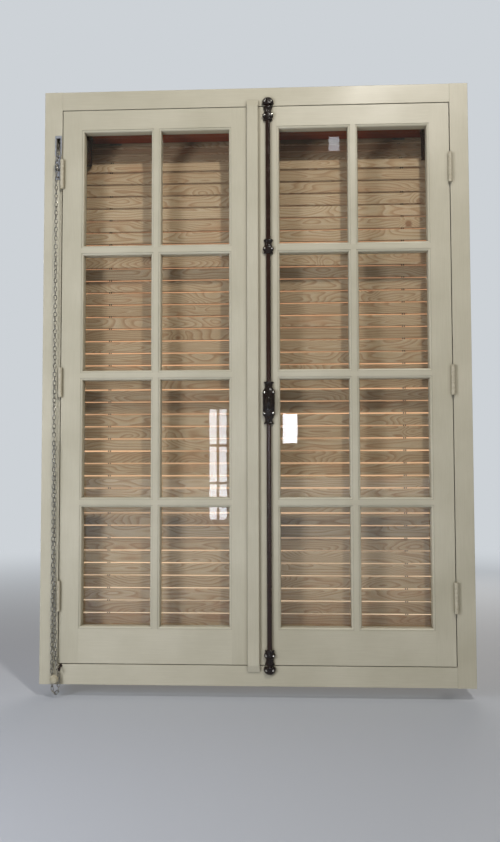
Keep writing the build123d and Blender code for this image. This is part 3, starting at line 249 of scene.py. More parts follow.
def zincSteel(name, bright, dull, roughness):
    # Hot-dip zinc on steel: grey metal with soft mottled crystals and white bloom in the hollows.
    size = {"crystal": 4.0, "cloud": 11.0, "dent": 0.5}  # mm
    bloomTone = "#A9A79E"
    finish, tree, place = start(name)
    cells = add(tree, "TexVoronoi", {}, {"Vector": place, "Scale": 1000 / size["crystal"]}).outputs["Color"]
    spangle = add(tree, "SeparateColor", {}, {0: cells})
    cloud = add(tree, "TexNoise", {}, {"Vector": place, "Scale": 1000 / size["cloud"], "Detail": 4.0})
    metal = add(tree, "ValToRGB", {"stops": [(0.0, dull), (1.0, bright)]}, {"Fac": spangle})
    bloom = add(tree, "ValToRGB", {"stops": [(0.5, 0.0), (0.8, 0.5)]}, {"Fac": cloud})
    mottled = add(tree, "Mix", blend, {0: bloom, 6: metal, 7: linear(bloomTone)})
    shine = [(0.3, roughness - 0.1), (0.8, roughness + 0.15)]
    gloss = add(tree, "ValToRGB", {"stops": shine}, {"Fac": cloud})
    bump = add(tree, "Bump", {}, {"Height": cloud, "Strength": 0.15, "Distance": size["dent"] / 1000})
    skin = {"Base Color": mottled, "Metallic": 1.0, "Roughness": gloss, "Normal": bump}
    add(tree, "OutputMaterial", {}, {"Surface": add(tree, "BsdfPrincipled", {}, skin)})
    return finish


def windowGlass(name):
    # Float glass, thinly dusted: clear, faint green, the room mirrored in it.
    # Light reaches what stands behind it straight, as it does through flat glass.
    size = {"dust": 111}  # mm
    finish, tree, place = start(name)
    dust = add(tree, "TexNoise", {}, {"Vector": place, "Scale": 1000 / size["dust"], "Detail": 5.0})
    haze = add(tree, "ValToRGB", {"stops": [(0.4, 0.0), (0.8, 0.03)]}, {"Fac": dust})
    pane = {"Base Color": linear("#F8FAF7"), "Transmission Weight": 1.0, "IOR": 1.5, "Roughness": haze}
    shader = add(tree, "BsdfPrincipled", {}, pane)
    path = add(tree, "LightPath", {}, {}).outputs
    rays = {0: path["Is Shadow Ray"], 1: path["Is Diffuse Ray"]}
    straight = add(tree, "Math", {"operation": "MAXIMUM"}, rays)
    clear = add(tree, "BsdfTransparent", {}, {"Color": linear("#F4F6F2")})
    either = add(tree, "MixShader", {}, {0: straight, 1: shader, 2: clear})
    add(tree, "OutputMaterial", {}, {"Surface": either})
    return finish


def plainPaint(name, fresh, aged, grain, shine):
    # Flat oil paint on sawn board: chalky, grain showing through, greyer where rain runs.
    size = {"grain": grain, "cloud": 200, "ridge": 0.6}  # mm
    finish, tree, place = start(name)
    sawn = add(tree, "Mapping", {}, {"Vector": place, "Scale": [1000 / s for s in size["grain"]]})
    lines = add(tree, "TexNoise", {}, {"Vector": sawn, "Scale": 1.0, "Detail": 4.0})
    cloud = add(tree, "TexNoise", {}, {"Vector": place, "Scale": 1000 / size["cloud"], "Detail": 5.0})
    base = add(tree, "ValToRGB", {"stops": [(0.3, fresh), (0.75, aged)]}, {"Fac": cloud})
    worn = add(tree, "ValToRGB", {"stops": [(0.35, "#FFFFFF"), (0.7, "#9A8E80")]}, {"Fac": lines})
    mixed = add(tree, "Mix", multiply, {0: 0.25, 6: base, 7: worn})
    bump = add(tree, "Bump", {}, {"Height": lines, "Strength": 0.3, "Distance": size["ridge"] / 1000})
    skin = {"Base Color": mixed, "Roughness": 0.8, "Specular IOR Level": shine, "Normal": bump}
    add(tree, "OutputMaterial", {}, {"Surface": add(tree, "BsdfPrincipled", {}, skin)})
    return finish


def webbing(name):
    # Woven polyester strap: flat ribs across, a dull soft sheen.
    strap = {"rib": 2.4, "ridge": 0.6, "pale": "#8F8B80", "dark": "#5C5850"}  # mm
    finish, tree, place = start(name)
    weave = {"Vector": place, "Scale": 1000 / strap["rib"] / (2 * math.pi), "Distortion": 0.4}
    ribs = add(tree, "TexWave", {"bands_direction": "X"}, weave).outputs["Fac"]
    tone = add(tree, "ValToRGB", {"stops": [(0.2, strap["dark"]), (0.8, strap["pale"])]}, {"Fac": ribs})
    bump = add(tree, "Bump", {}, {"Height": ribs, "Strength": 0.5, "Distance": strap["ridge"] / 1000})
    skin = {"Base Color": tone, "Roughness": 0.8, "Sheen Weight": 0.3, "Normal": bump}
    add(tree, "OutputMaterial", {}, {"Surface": add(tree, "BsdfPrincipled", {}, skin)})
    return finish


def smoothPaint(name, fresh, aged, roughness):
    # Sprayed or dipped enamel: even, with faint finger marks in its shine.
    size = {"cloud": 8.333, "ridge": 0.5}  # mm
    finish, tree, place = start(name)
    cloud = add(tree, "TexNoise", {}, {"Vector": place, "Scale": 1000 / size["cloud"], "Detail": 4.0})
    tone = add(tree, "ValToRGB", {"stops": [(0.35, fresh), (0.75, aged)]}, {"Fac": cloud})
    gloss = add(tree, "ValToRGB", {"stops": [(0.3, roughness), (0.8, roughness + 0.2)]}, {"Fac": cloud})
    bump = add(tree, "Bump", {}, {"Height": cloud, "Strength": 0.12, "Distance": size["ridge"] / 1000})
    skin = {"Base Color": tone, "Roughness": gloss, "IOR": 1.48, "Normal": bump}
    add(tree, "OutputMaterial", {}, {"Surface": add(tree, "BsdfPrincipled", {}, skin)})
    return finish


# the same enamel in four patches of cloud, so that no two neighbours wander alike
enamelUpright = [creamEnamel("creamEnamelUpright%d" % i, "Z", i * 1.7) for i in range(4)]
enamelLevel = [creamEnamel("creamEnamelLevel%d" % i, "X", 9 + i * 1.3) for i in range(4)]
slatPine = pine("varnishedPineSlats", pitch=39.6, firstZ=82.9)
leaningPine = pine("varnishedPineTopSlats", pitch=33.1, firstZ=1626.65)
blackIron = castIron("lacqueredCastIron", 0.24)
rodIron = castIron("lacqueredRodIron", 0.12)
screwSteel = zincSteel("polishedScrewSteel", "#E4E2DC", "#C2BFB6", 0.22)
chainZinc = zincSteel("galvanisedChain", "#BDBBB4", "#8A877F", 0.36)
hookSteel = zincSteel("dullHookSteel", "#4A433B", "#2E2924", 0.55)
guideZinc = zincSteel("galvanisedChannel", "#B9BAB8", "#94948F", 0.5)
gearZinc = zincSteel("galvanisedGear", "#A3A29D", "#807E78", 0.45)
clearGlass = windowGlass("floatGlass")
hingePaint = smoothPaint("enamelledHinge", "#C6BFA9", "#B2A98F", 0.36)
puttyPaint = smoothPaint("paintedPutty", "#BDB49C", "#A3997D", 0.55)
knobPaint = smoothPaint("paintedBeechKnob", "#BDB59B", "#9C937A", 0.45)
platePaint = smoothPaint("greyEnamelledPlate", "#A3A6AA", "#777B80", 0.4)
# mm along x, y and z
grain = {"level": (166.7, 16.67, 16.67), "upright": (16.67, 16.67, 166.7), "spruce": (200, 11.11, 11.11)}
redBrown = plainPaint("redBrownOilPaint", "#A04C30", "#843A26", grain["level"], 0.05)
blockPaint = plainPaint("darkBrownOilPaint", "#3B2014", "#2C170F", grain["upright"], 0.05)
outsidePaint = plainPaint("greyOutsidePaint", "#B5AE9E", "#98907F", grain["level"], 0.3)
liningPaint = plainPaint("brownLiningPaint", "#7A5A44", "#604433", grain["upright"], 0.1)
drumSpruce = plainPaint("sawnSpruceDrum", "#C7AC84", "#A98C62", grain["spruce"], 0.2)
strapWeave = webbing("wovenStrap")
print("materials made")

# Finish of each CAD piece that stays, by its own name
finishes = {
    "frame_right_jamb": enamelUpright[0],
    "frame_left_jamb": enamelUpright[1],
    "frame_head": enamelLevel[0],
    "frame_sill_rail": enamelLevel[1],
    "cover_strip": enamelUpright[2],
    "upper_rod": rodIron,
    "lower_rod": rodIron,
    "bolt_pinion": blackIron,
    "shutter_slats": slatPine,
    "leaning_slats": leaningPine,
    "shutter_bottom_bar": slatPine,
    "strap_tails": strapWeave,
    "strap_turns": strapWeave,
    "drum_tube": drumSpruce,
    "drum_shaft": gearZinc,
    "chain_reel": gearZinc,
    "drum_bearings": gearZinc,
    "pulley_pin": gearZinc,
    "chain_pulley": gearZinc,
    "right_shutter_guide": guideZinc,
    "left_shutter_guide": guideZinc,
    "right_lining_board": liningPaint,
    "left_lining_board": liningPaint,
    "soffit_board": redBrown,
    "box_front_board": liningPaint,
    "cheek_blocks": blockPaint,
    "box_top_board": outsidePaint,
    "lambrequin_board": outsidePaint,
}
for side, tone in (("right", 2), ("left", 3)):
    finishes[side + "_hinge_frame_halves"] = hingePaint
    finishes[side + "_hinge_leaf_halves"] = hingePaint
    for upright in ("outer_stile", "inner_stile", "vertical_bars"):
        finishes[side + "_" + upright] = enamelUpright[tone]
    for level in ("top_rail", "bottom_rail", "horizontal_bars"):
        finishes[side + "_" + level] = enamelLevel[tone]
    finishes[side + "_glass"] = clearGlass
    finishes[side + "_putty"] = puttyPaint
for name, finish in finishes.items():
    for slot in nodes[name].material_slots:
        slot.material = finish
print("CAD pieces finished")


# Shapes are pairs of vertices and faces, joined into one mesh for each piece
def roundSteps(steps):
    return [2 * math.pi * i / steps for i in range(steps)]


def lofted(rings, closeEnds=True):
    size = len(rings[0])
    vertices = [v for ring in rings for v in ring]
    faces = []
    for r in range(len(rings) - 1):
        for i in range(size):
            j = (i + 1) % size
            faces.append((r * size + i, r * size + j, (r + 1) * size + j, (r + 1) * size + i))
    if closeEnds:
        faces.append(tuple(reversed(range(size))))
        faces.append(tuple((len(rings) - 1) * size + i for i in range(size)))
    return vertices, faces


def turned(profile, centre, axis, steps=24):
    # profile: radius and height in mm along the axis
    axis = Vector(axis).normalized()
    aside = axis.orthogonal().normalized()
    other = axis.cross(aside)
    rings = []
    for radius, height in profile:
        ring = []
        for a in roundSteps(steps):
            out = aside * math.cos(a) + other * math.sin(a)
            ring.append(Vector(centre) + (out * radius + axis * height) / 1000)
        rings.append(ring)
    return lofted(rings)


def wire(points, radius, sides=8, closed=False):
    # a round wire through points, its section turned with the line
    count = len(points)
    rings = []
    previous = None
    for i in range(count):
        before = points[(i - 1) % count] if closed or i else points[0]
        after = points[(i + 1) % count] if closed or i < count - 1 else points[-1]
        along = (after - before).normalized()
        side = previous - along * previous.dot(along) if previous else along.orthogonal()
        side.normalize()
        previous = side
        other = along.cross(side)
        ring = []
        for a in roundSteps(sides):
            ring.append(points[i] + (side * math.cos(a) + other * math.sin(a)) * (radius / 1000))
        rings.append(ring)
    if not closed:
        return lofted(rings)
    vertices, faces = lofted(rings, False)
    # the last ring meets the first, turned to match it
    gaps = []
    for shift in range(sides):
        apart = [(rings[-1][(k + shift) % sides] - rings[0][k]).length for k in range(sides)]
        gaps.append(sum(apart))
    shift = gaps.index(min(gaps))
    last = (count - 1) * sides
    for k in range(sides):
        m = (k + 1) % sides
        faces.append((last + (k + shift) % sides, last + (m + shift) % sides, m, k))
    return vertices, faces


def makePiece(name, shapes, body, finish, sharp=40):
    vertices, faces = [], []
    for shapeVertices, shapeFaces in shapes:
        base = len(vertices)
        vertices += shapeVertices
        faces += [tuple(base + i for i in face) for face in shapeFaces]
    mesh = bpy.data.meshes.new(name)
    mesh.from_pydata([tuple(v) for v in vertices], [], faces)
    work = bmesh.new()
    work.from_mesh(mesh)
    bmesh.ops.recalc_face_normals(work, faces=work.faces)
    work.to_mesh(mesh)
    work.free()
    mesh.shade_smooth()
    mesh.set_sharp_from_angle(angle=math.radians(sharp))
    mesh.materials.append(finish)
    piece = bpy.data.objects.new(name, mesh)
    scene.collection.objects.link(piece)
    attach(piece, body)
    return piece


def eased(rows, steps):
    # rows of numbers joined by a smooth curve through each of them
    out = []
    for i in range(len(rows) - 1):
        corners = zip(rows[max(i - 1, 0)], rows[i], rows[i + 1], rows[min(i + 2, len(rows) - 1)])
        bends = [(2 * q, r - p, 2 * p - 5 * q + 4 * r - s, 3 * q - p - 3 * r + s) for p, q, r, s in corners]
        for k in range(steps):
            t = k / steps
            out.append([0.5 * (a + b * t + c * t**2 + d * t**3) for a, b, c, d in bends])
    out.append(list(rows[-1]))
    return out


# Surface bolt: castings on the right leaf and on the frame, with a clear way for the rod behind
bolt = {"x": 44, "wayDeep": 10.2, "wayOpen": 5, "closedDeep": 0.3, "flutes": 10, "sideBend": 0.9,
        "frontBend": 0.62}


def casting(centreZ, rows, flip=1, steps=3, arcs=28):
    # rows: height, half width, depth, half width of the rod's way, depth of the flutes
    rings = []
    for z, half, depth, way, flute in eased(rows, steps):
        ring = []
        for i in range(arcs + 1):
            a = math.pi * i / arcs
            dent = 1 - flute * (0.5 + 0.5 * math.cos(a * bolt["flutes"])) * math.sin(a)
            x = math.copysign(abs(math.cos(a)) ** bolt["sideBend"], math.cos(a)) * half * dent
            y = -depth * math.sin(a) ** bolt["frontBend"] * dent
            ring.append(at(bolt["x"] + x, y, centreZ + flip * z))
        wayDeep = bolt["wayDeep"] if way > bolt["wayOpen"] else bolt["closedDeep"]
        for x, y in ((-way, 0), (-way, -wayDeep), (way, -wayDeep), (way, 0)):
            ring.append(at(bolt["x"] + x, y, centreZ + flip * z))
        rings.append(ring)
    return lofted(rings)


def dome(x, y, z, radius, height, steps=20):
    rows = [(radius, 0)]
    rows += [(radius * math.cos(t), height * math.sin(t)) for t in (0.25, 0.55, 0.85, 1.15, 1.4)]
    rows.append((radius * 0.02, height))
    return turned(rows, at(x, y, z), (0, -1, 0), steps)


def slottedScrew(x, y, z, radius, height, turn):
    # a domed head cut by a driver slot, as two half heads with the slot's floor between them
    floor = {"radius": 0.96, "high": 0.45, "slotHalf": 0.14}
    profile = [(radius * floor["radius"], 0), (radius * floor["radius"], height * floor["high"])]
    shapes = [turned(profile, at(x, y, z), (0, -1, 0), 20)]
    for side in (-1, 1):
        rings = []
        for level, share in ((0.0, 1.0), (0.45, 0.97), (0.75, 0.84), (0.93, 0.6), (1.0, 0.3)):
            ring = []
            for k in range(13):
                a = -math.pi / 2 + math.pi * k / 12
                across = side * max(math.cos(a) * radius * share, radius * floor["slotHalf"])
                up = math.sin(a) * radius * share
                headX = x + across * math.cos(turn) - up * math.sin(turn)
                headZ = z + across * math.sin(turn) + up * math.cos(turn)
                ring.append(at(headX, y - height * level, headZ))
            rings.append(ring)
        shapes.append(lofted(rings))
    return shapes


# Radius and height of each screw's head, and the widest turn of its slot
screwHead = {"case": (3.5, 1.7), "guide": (3.3, 1.6), "keeper": (3.2, 1.6), "plate": (3.4, 1.7), "turn": 3}

# Case of the bolt, with bosses for its screws and a relief of a bead, four scrolls and two buds
boltCase = {
    "z": 862, "screwX": 13.6, "screwY": -15.2, "screwZ": 32.2, "bossY": -11.5, "boss": (5.2, 4.2),
    "beadX": 9.5, "beadY": -17.4, "beadZ": 17.5, "beadRise": 0.5, "beadWire": 1.1,
    "scrollX": 6.3, "scrollY": -16.0, "scrollZ": 29.5, "scrollWide": 0.62, "scrollHigh": 0.9,
    "scrollTurn": 5.2, "scrollReach": 6.5, "scrollEye": 1.2, "scrollSink": 1.2, "scrollWire": 1.0,
    "scrollSteps": 14, "budY": -13.2, "budZ": 46.5,
}
caseRows = [
    (-65, 14.5, 11.4, 7.4, 0.0), (-62.5, 15.5, 12.4, 7.4, 0.0), (-59, 12.5, 12.4, 7.4, 0.12),
    (-51, 11.6, 13.2, 7.4, 0.16), (-44, 13.5, 14.0, 7.4, 0.06), (-39, 17.5, 14.8, 14.2, 0.0),
    (-34, 19.2, 15.6, 14.2, 0.0), (-28, 18.4, 16.2, 14.2, 0.0), (-14, 18.2, 17.2, 14.2, 0.0),
    (0, 18.6, 17.6, 14.2, 0.0), (14, 18.2, 17.2, 14.2, 0.0), (28, 18.4, 16.2, 14.2, 0.0),
    (34, 19.2, 15.6, 14.2, 0.0), (39, 17.5, 14.8, 14.2, 0.0), (44, 13.5, 14.0, 7.4, 0.06),
    (51, 11.6, 13.2, 7.4, 0.16), (59, 12.5, 12.4, 7.4, 0.12), (62.5, 15.5, 12.4, 7.4, 0.0),
    (65, 14.5, 11.4, 7.4, 0.0),
]
caseScrews = []
for sx in (-1, 1):
    for sz in (-1, 1):
        caseScrews.append((bolt["x"] + sx * boltCase["screwX"], boltCase["z"] + sz * boltCase["screwZ"]))
caseShapes = [casting(boltCase["z"], caseRows)]
for x, z in caseScrews:
    caseShapes.append(dome(x, boltCase["bossY"], z, *boltCase["boss"]))
bead = []
for a in roundSteps(32):
    x = bolt["x"] + boltCase["beadX"] * math.cos(a)
    y = boltCase["beadY"] - boltCase["beadRise"] * math.cos(2 * a)
    z = boltCase["z"] + boltCase["beadZ"] * math.sin(a)
    bead.append(at(x, y, z))
caseShapes.append(wire(bead, boltCase["beadWire"], 8, True))
for flip in (-1, 1):
    for side in (-1, 1):
        scroll = []
        for i in range(boltCase["scrollSteps"] + 1):
            t = i / boltCase["scrollSteps"]
            turn = boltCase["scrollTurn"] * t
            reach = boltCase["scrollReach"] * (1 - t) + boltCase["scrollEye"]
            x = bolt["x"] + side * (boltCase["scrollX"] - reach * math.cos(turn) * boltCase["scrollWide"])
            y = boltCase["scrollY"] + boltCase["scrollSink"] * t
            up = boltCase["scrollZ"] - reach * math.sin(turn) * boltCase["scrollHigh"]
            scroll.append(at(x, y, boltCase["z"] + flip * up))
        caseShapes.append(wire(scroll, boltCase["scrollWire"], 6))
    bud = [(4.5, 0), (4.4, 1.6), (3.2, 3.0), (1.2, 3.6), (0.05, 3.7)]
    budPlace = at(bolt["x"], boltCase["budY"], boltCase["z"] + flip * boltCase["budZ"])
    caseShapes.append(turned(bud, budPlace, (0, -1, 0), 14))
casePiece = makePiece("boltCaseCasting", caseShapes, "right_leaf", blackIron, 50)
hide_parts("bolt_case")

# Rod guides: two lobes with a screw each, a cord across the neck and a bead between the screws
guide = {
    "places": ((87.5, -1), (1349, 1), (1771.5, 1)), "lobeX": 11.4, "lobeY": -9.2, "lobeZ": 7,
    "lobe": (5.6, 3.9), "screwY": -12.4, "cordHalf": 11.6, "cordDeep": 12.8, "cordBend": 0.7,
    "cordY": -0.2, "cordZ": 2.2, "cordWire": 1.0, "beadY": -12.6, "bead": (3.0, 1.8),
}
guideRows = [
    (-22, 14.2, 11.6, 7.4, 0.0), (-20.6, 15.2, 12.4, 7.4, 0.0), (-18, 14.0, 12.6, 7.4, 0.0),
    (-14.5, 13.6, 13.0, 7.4, 0.0), (-11, 16.4, 13.2, 7.4, 0.0), (-6, 17.3, 13.4, 7.4, 0.0),
    (-1.5, 15.2, 13.2, 7.4, 0.0), (2.5, 11.8, 12.6, 7.4, 0.08), (8, 11.0, 12.4, 7.4, 0.16),
    (13.5, 12.0, 12.6, 7.4, 0.14), (17.5, 13.4, 12.8, 7.4, 0.05), (20, 14.6, 12.4, 7.4, 0.0),
    (22, 13.8, 11.5, 7.4, 0.0),
]
guideShapes = []
guideScrews = []
for z, flip in guide["places"]:
    guideShapes.append(casting(z, guideRows, flip))
    lobeZ = z - flip * guide["lobeZ"]
    for side in (-1, 1):
        lobeX = bolt["x"] + side * guide["lobeX"]
        guideShapes.append(dome(lobeX, guide["lobeY"], lobeZ, *guide["lobe"]))
        guideScrews.append((lobeX, guide["screwY"], lobeZ))
    cord = []
    for a in [math.pi * i / 18 for i in range(19)]:
        y = guide["cordY"] - guide["cordDeep"] * abs(math.sin(a)) ** guide["cordBend"]
        cord.append(at(bolt["x"] + guide["cordHalf"] * math.cos(a), y, z + flip * guide["cordZ"]))
    guideShapes.append(wire(cord, guide["cordWire"], 6))
    guideShapes.append(dome(bolt["x"], guide["beadY"], lobeZ, *guide["bead"]))
guidePiece = makePiece("boltGuideCastings", guideShapes, "right_leaf", blackIron, 50)
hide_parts("bolt_guides")

# Keepers: shells on the head and on the bottom rail that the rods run into
keeper = {"places": ((1799, 1), (60, -1)), "lobeX": 10.2, "lobeY": -10.6, "lobeZ": 9, "lobe": (5.0, 4.0),
          "screwY": -13.9}
keeperRows = [
    (0, 13.8, 13.6, 7.4, 0.0), (1.6, 16.8, 14.6, 7.4, 0.0), (4.5, 18.4, 15.2, 7.4, 0.05),
    (8.5, 18.6, 15.4, 7.4, 0.12), (12.5, 17.4, 15.0, 7.4, 0.16), (15.5, 15.8, 14.6, 7.4, 0.16),
    (16.5, 15.1, 14.4, 0.3, 0.15), (20, 11.8, 12.4, 0.3, 0.13), (23, 7.2, 8.6, 0.3, 0.08),
    (24.8, 2.8, 3.6, 0.3, 0.0), (25.2, 0.8, 0.8, 0.3, 0.0),
]
keeperShapes = []
keeperScrews = []
for z, flip in keeper["places"]:
    keeperShapes.append(casting(z, keeperRows, flip))
    lobeZ = z + flip * keeper["lobeZ"]
    for side in (-1, 1):
        lobeX = bolt["x"] + side * keeper["lobeX"]
        keeperShapes.append(dome(lobeX, keeper["lobeY"], lobeZ, *keeper["lobe"]))
        keeperScrews.append((lobeX, keeper["screwY"], lobeZ))
keeperPiece = makePiece("boltKeeperCastings", keeperShapes, "window_frame", blackIron, 50)
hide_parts("bolt_keepers")

random.seed(4)
leafScrews = []
for x, z in caseScrews:
    turn = random.uniform(0, screwHead["turn"])
    leafScrews += slottedScrew(x, boltCase["screwY"], z, *screwHead["case"], turn)
for x, y, z in guideScrews:
    turn = random.uniform(0, screwHead["turn"])
    leafScrews += slottedScrew(x, y, z, *screwHead["guide"], turn)
screwPiece = makePiece("boltScrews", leafScrews, "right_leaf", screwSteel)
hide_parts("bolt_screws")

# Oval knob on its neck, with a bead round its waist
knob = {"y": -34.9, "half": 20.5, "radius": 8.4, "rows": 24, "waist": 0.09, "bead": 0.5, "neckY": -18.9}
knobRows = []
for i in range(knob["rows"] + 1):
    t = -1 + 2 * i / knob["rows"]
    radius = knob["radius"] * math.sqrt(max(1 - t * t, 0)) ** 0.92
    if abs(t) < knob["waist"]:
        radius += knob["bead"]
    knobRows.append((max(radius, 0.05), knob["half"] * t))
neckRows = [(8.0, 0), (8.2, 1.0), (7.0, 2.0), (5.2, 3.4), (4.6, 7.0), (5.0, 11.0), (6.0, 14.5)]
knobShapes = [
    turned(knobRows, at(bolt["x"], knob["y"], boltCase["z"]), (0, 0, 1), 28),
    turned(neckRows, at(bolt["x"], knob["neckY"], boltCase["z"]), (0, -1, 0), 24),
]
knobPiece = makePiece("boltKnob", knobShapes, "bolt_turner", blackIron, 60)
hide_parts("bolt_knob")
print("bolt made")

# Chain guide on the left jamb: a plate with a window for the pulley and a slot for the chain
chainX = -620.5
plate = {"low": 1574, "high": 1652, "half": 8, "thick": 2.0, "pulleyZ": 1612, "windowHalf": 10,
         "slotHalf": 6.5, "slotHigh": 1707, "frameHalf": 10.5, "frameHigh": 1715, "frameThick": 2.2,
         "earIn": 5.5, "earOut": 7.5, "earRound": 9, "pinY": -5, "screws": (1581, 1645)}


def slab(x0, x1, z0, z1, thick=plate["thick"], ease=0.6):
    # a sheet-metal slab on the wood with eased edges, x from the chain's line
    rings = []
    for y, inset in ((0, 0), (ease - thick, 0), (-thick, ease)):
        left, right = chainX + x0 + inset, chainX + x1 - inset
        bottom, top = z0 + inset, z1 - inset
        outline = [
            (left, bottom + ease), (left + ease, bottom), (right - ease, bottom), (right, bottom + ease),
            (right, top - ease), (right - ease, top), (left + ease, top), (left, top - ease),
        ]
        rings.append([at(x, y, z) for x, z in outline])
    return lofted(rings)


plateShapes = [
    slab(-plate["half"], plate["half"], plate["low"], plate["pulleyZ"] - plate["windowHalf"]),
    slab(-plate["half"], plate["half"], plate["pulleyZ"] + plate["windowHalf"], plate["high"]),
    slab(-plate["frameHalf"], -plate["slotHalf"], plate["high"], plate["frameHigh"]),
    slab(plate["slotHalf"], plate["frameHalf"], plate["high"], plate["frameHigh"]),
    slab(-plate["frameHalf"], plate["frameHalf"], plate["slotHigh"], plate["frameHigh"], plate["frameThick"]),
]
for side in (-1, 1):
    # an ear folded forward, round at its front, with the pin's riveted end
    bow = plate["earRound"]
    ear = [(0, -bow), (plate["pinY"], -bow)]
    for a in [math.pi * i / 10 for i in range(1, 10)]:
        ear.append((plate["pinY"] - bow * math.sin(a), -bow * math.cos(a)))
    ear += [(plate["pinY"], bow), (0, bow)]
    cheeks = sorted(chainX + side * half for half in (plate["earIn"], plate["earOut"]))
    plateShapes.append(lofted([[at(x, y, plate["pulleyZ"] + z) for y, z in ear] for x in cheeks]))
    rivetPlace = at(chainX + side * plate["earOut"], plate["pinY"], plate["pulleyZ"])
    plateShapes.append(turned([(3.4, 0), (3.4, 0.9), (2.4, 1.6), (0.1, 1.8)], rivetPlace, (side, 0, 0), 16))
platePiece = makePiece("chainPlate", plateShapes, "window_frame", platePaint, 35)
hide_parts("chain_fittings")

frameScrews = []
for x, y, z in keeperScrews:
    turn = random.uniform(0, screwHead["turn"])
    frameScrews += slottedScrew(x, y, z, *screwHead["keeper"], turn)
frameScrewPiece = makePiece("keeperScrews", frameScrews, "window_frame", screwSteel)
plateScrews = []
for z in plate["screws"]:
    turn = random.uniform(0, screwHead["turn"])
    plateScrews += slottedScrew(chainX, -plate["thick"], z, *screwHead["plate"], turn)
plateScrewPiece = makePiece("plateScrews", plateScrews, "window_frame", blackIron)
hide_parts("fixing_screws")
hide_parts("fixing_screws")

# Turned knob and bent hook that hold the chain at the bottom
chainKnob = {"x": -613, "z": 20}
chainKnobRows = [
    (6.2, 0), (6.0, 0.8), (4.2, 1.6), (3.9, 6), (4.0, 11), (5.2, 13.2), (9.5, 13.8), (12.6, 15.0),
    (13.8, 17.5), (13.9, 20.0), (13.0, 22.6), (11.0, 24.8), (8.6, 26.2), (8.0, 26.0), (7.2, 26.3),
    (4.0, 27.0), (0.1, 27.0),
]
chainKnobPlace = at(chainKnob["x"], 0, chainKnob["z"])
chainKnobShapes = [turned(chainKnobRows, chainKnobPlace, (0, -1, 0), 32)]
chainKnobPiece = makePiece("chainKnob", chainKnobShapes, "window_frame", knobPaint)
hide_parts("chain_fittings")
chainHook = {"x": -598.0, "z": 57, "radius": 2.0}
hookBends = [
    (0, 57), (-5, 57), (-9.5, 56.2), (-12, 52), (-13, 48), (-16.5, 46), (-20, 46), (-23, 48.5),
    (-24.5, 53), (-24.8, 56),
]
hookLine = eased([(chainHook["x"], y, z) for y, z in hookBends], 4)
hookFoot = [(5.2, 0), (5.0, 1.0), (3.4, 1.8), (2.2, 2.2)]
chainHookShapes = [
    wire([at(*p) for p in hookLine], chainHook["radius"], 10),
    turned(hookFoot, at(chainHook["x"], 0, chainHook["z"]), (0, -1, 0), 16),
]
chainHookPiece = makePiece("chainHook", chainHookShapes, "window_frame", blackIron)
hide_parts("chain_fittings")
print("chain fittings made")

# Operating chain: oval welded links, every other one turned a quarter
link = {"pitch": 13.4, "long": 18.7, "wide": 10.5, "wire": 2.5, "count": 214, "bend": 8, "bendSteps": 8,
        "calm": 40, "sway": 0.35}
reel = {"y": 152.44, "z": 1815.0, "radius": 34.45, "degrees": 290, "steps": 145}
chainCorners = [
    (-620.5, 125.8, 1836.9), (-620.5, 0, 1683.5), (-620.5, -19.45, 1614), (-624, -7.5, 77), (-624, -7.5, 20),
    (-620.5, -7.5, -26), (-604.5, -7.5, -26), (-600.5, -7.5, 20), (-611, -11.5, 77), (-615, -17.5, 257),
    (-617.5, -21.5, 752),
]


def chainLine():
    # round the reel from the far end, then from corner to corner with a bend at each
    line = []
    off = math.atan2(chainCorners[0][2] - reel["z"], chainCorners[0][1] - reel["y"])
    for i in range(reel["steps"] + 1):
        a = off - math.radians(reel["degrees"]) * (1 - i / reel["steps"])
        y = reel["y"] + reel["radius"] * math.cos(a)
        z = reel["z"] + reel["radius"] * math.sin(a)
        line.append(Vector((chainX, y, z)))
    for i in range(1, len(chainCorners) - 1):
        here = Vector(chainCorners[i])
        back = (Vector(chainCorners[i - 1]) - here).normalized()
        on = (Vector(chainCorners[i + 1]) - here).normalized()
        run = link["bend"] / math.tan(back.angle(on) / 2)
        enter, leave = here + back * run, here + on * run
        for k in range(link["bendSteps"] + 1):
            t = k / link["bendSteps"]
            line.append(enter * (1 - t) ** 2 + here * 2 * t * (1 - t) + leave * t**2)
    line.append(Vector(chainCorners[-1]))
    return line


line = chainLine()
lengths = [0.0]
for a, b in zip(line, line[1:]):
    lengths.append(lengths[-1] + (b - a).length)


def alongChain(distance):
    for i in range(1, len(line)):
        if lengths[i] >= distance:
            t = (distance - lengths[i - 1]) / max(lengths[i] - lengths[i - 1], 1e-9)
            return line[i - 1].lerp(line[i], t)
    return line[-1]


def ovalLink(first, last, sideways, sway):
    direction = (last - first).normalized()
    aside = direction.cross(Vector((1, 0, 0))).normalized()
    flat = aside.cross(direction) if sideways else aside
    flat = Matrix.Rotation(sway, 3, direction) @ flat
    centre = (first + last) / 2
    radius = (link["wide"] - link["wire"]) / 2
    straight = (link["long"] - link["wire"]) / 2 - radius
    points = []
    for end in (1, -1):
        for k in range(7):
            a = math.pi * k / 6
            across = radius * math.cos(a) * end
            up = (straight + radius * math.sin(a)) * end
            p = centre + flat * across + direction * up
            points.append(at(p.x, p.y, p.z))
    return wire(points, link["wire"] / 2, 6, True)


random.seed(11)
chainShapes = []
for k in range(min(link["count"], int(lengths[-1] / link["pitch"]))):
    # links on the reel and under pull lie true, the hanging ones sway a little
    sway = random.uniform(-link["sway"], link["sway"]) if k > link["calm"] else 0
    first, last = alongChain(k * link["pitch"]), alongChain((k + 1) * link["pitch"])
    chainShapes.append(ovalLink(first, last, k % 2 == 0, sway))
chainPiece = makePiece("operatingChain", chainShapes, "window_frame", chainZinc, 60)
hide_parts("operating_chain")
print("chain made,", len(chainShapes), "links,", round(lengths[-1]), "mm of line")

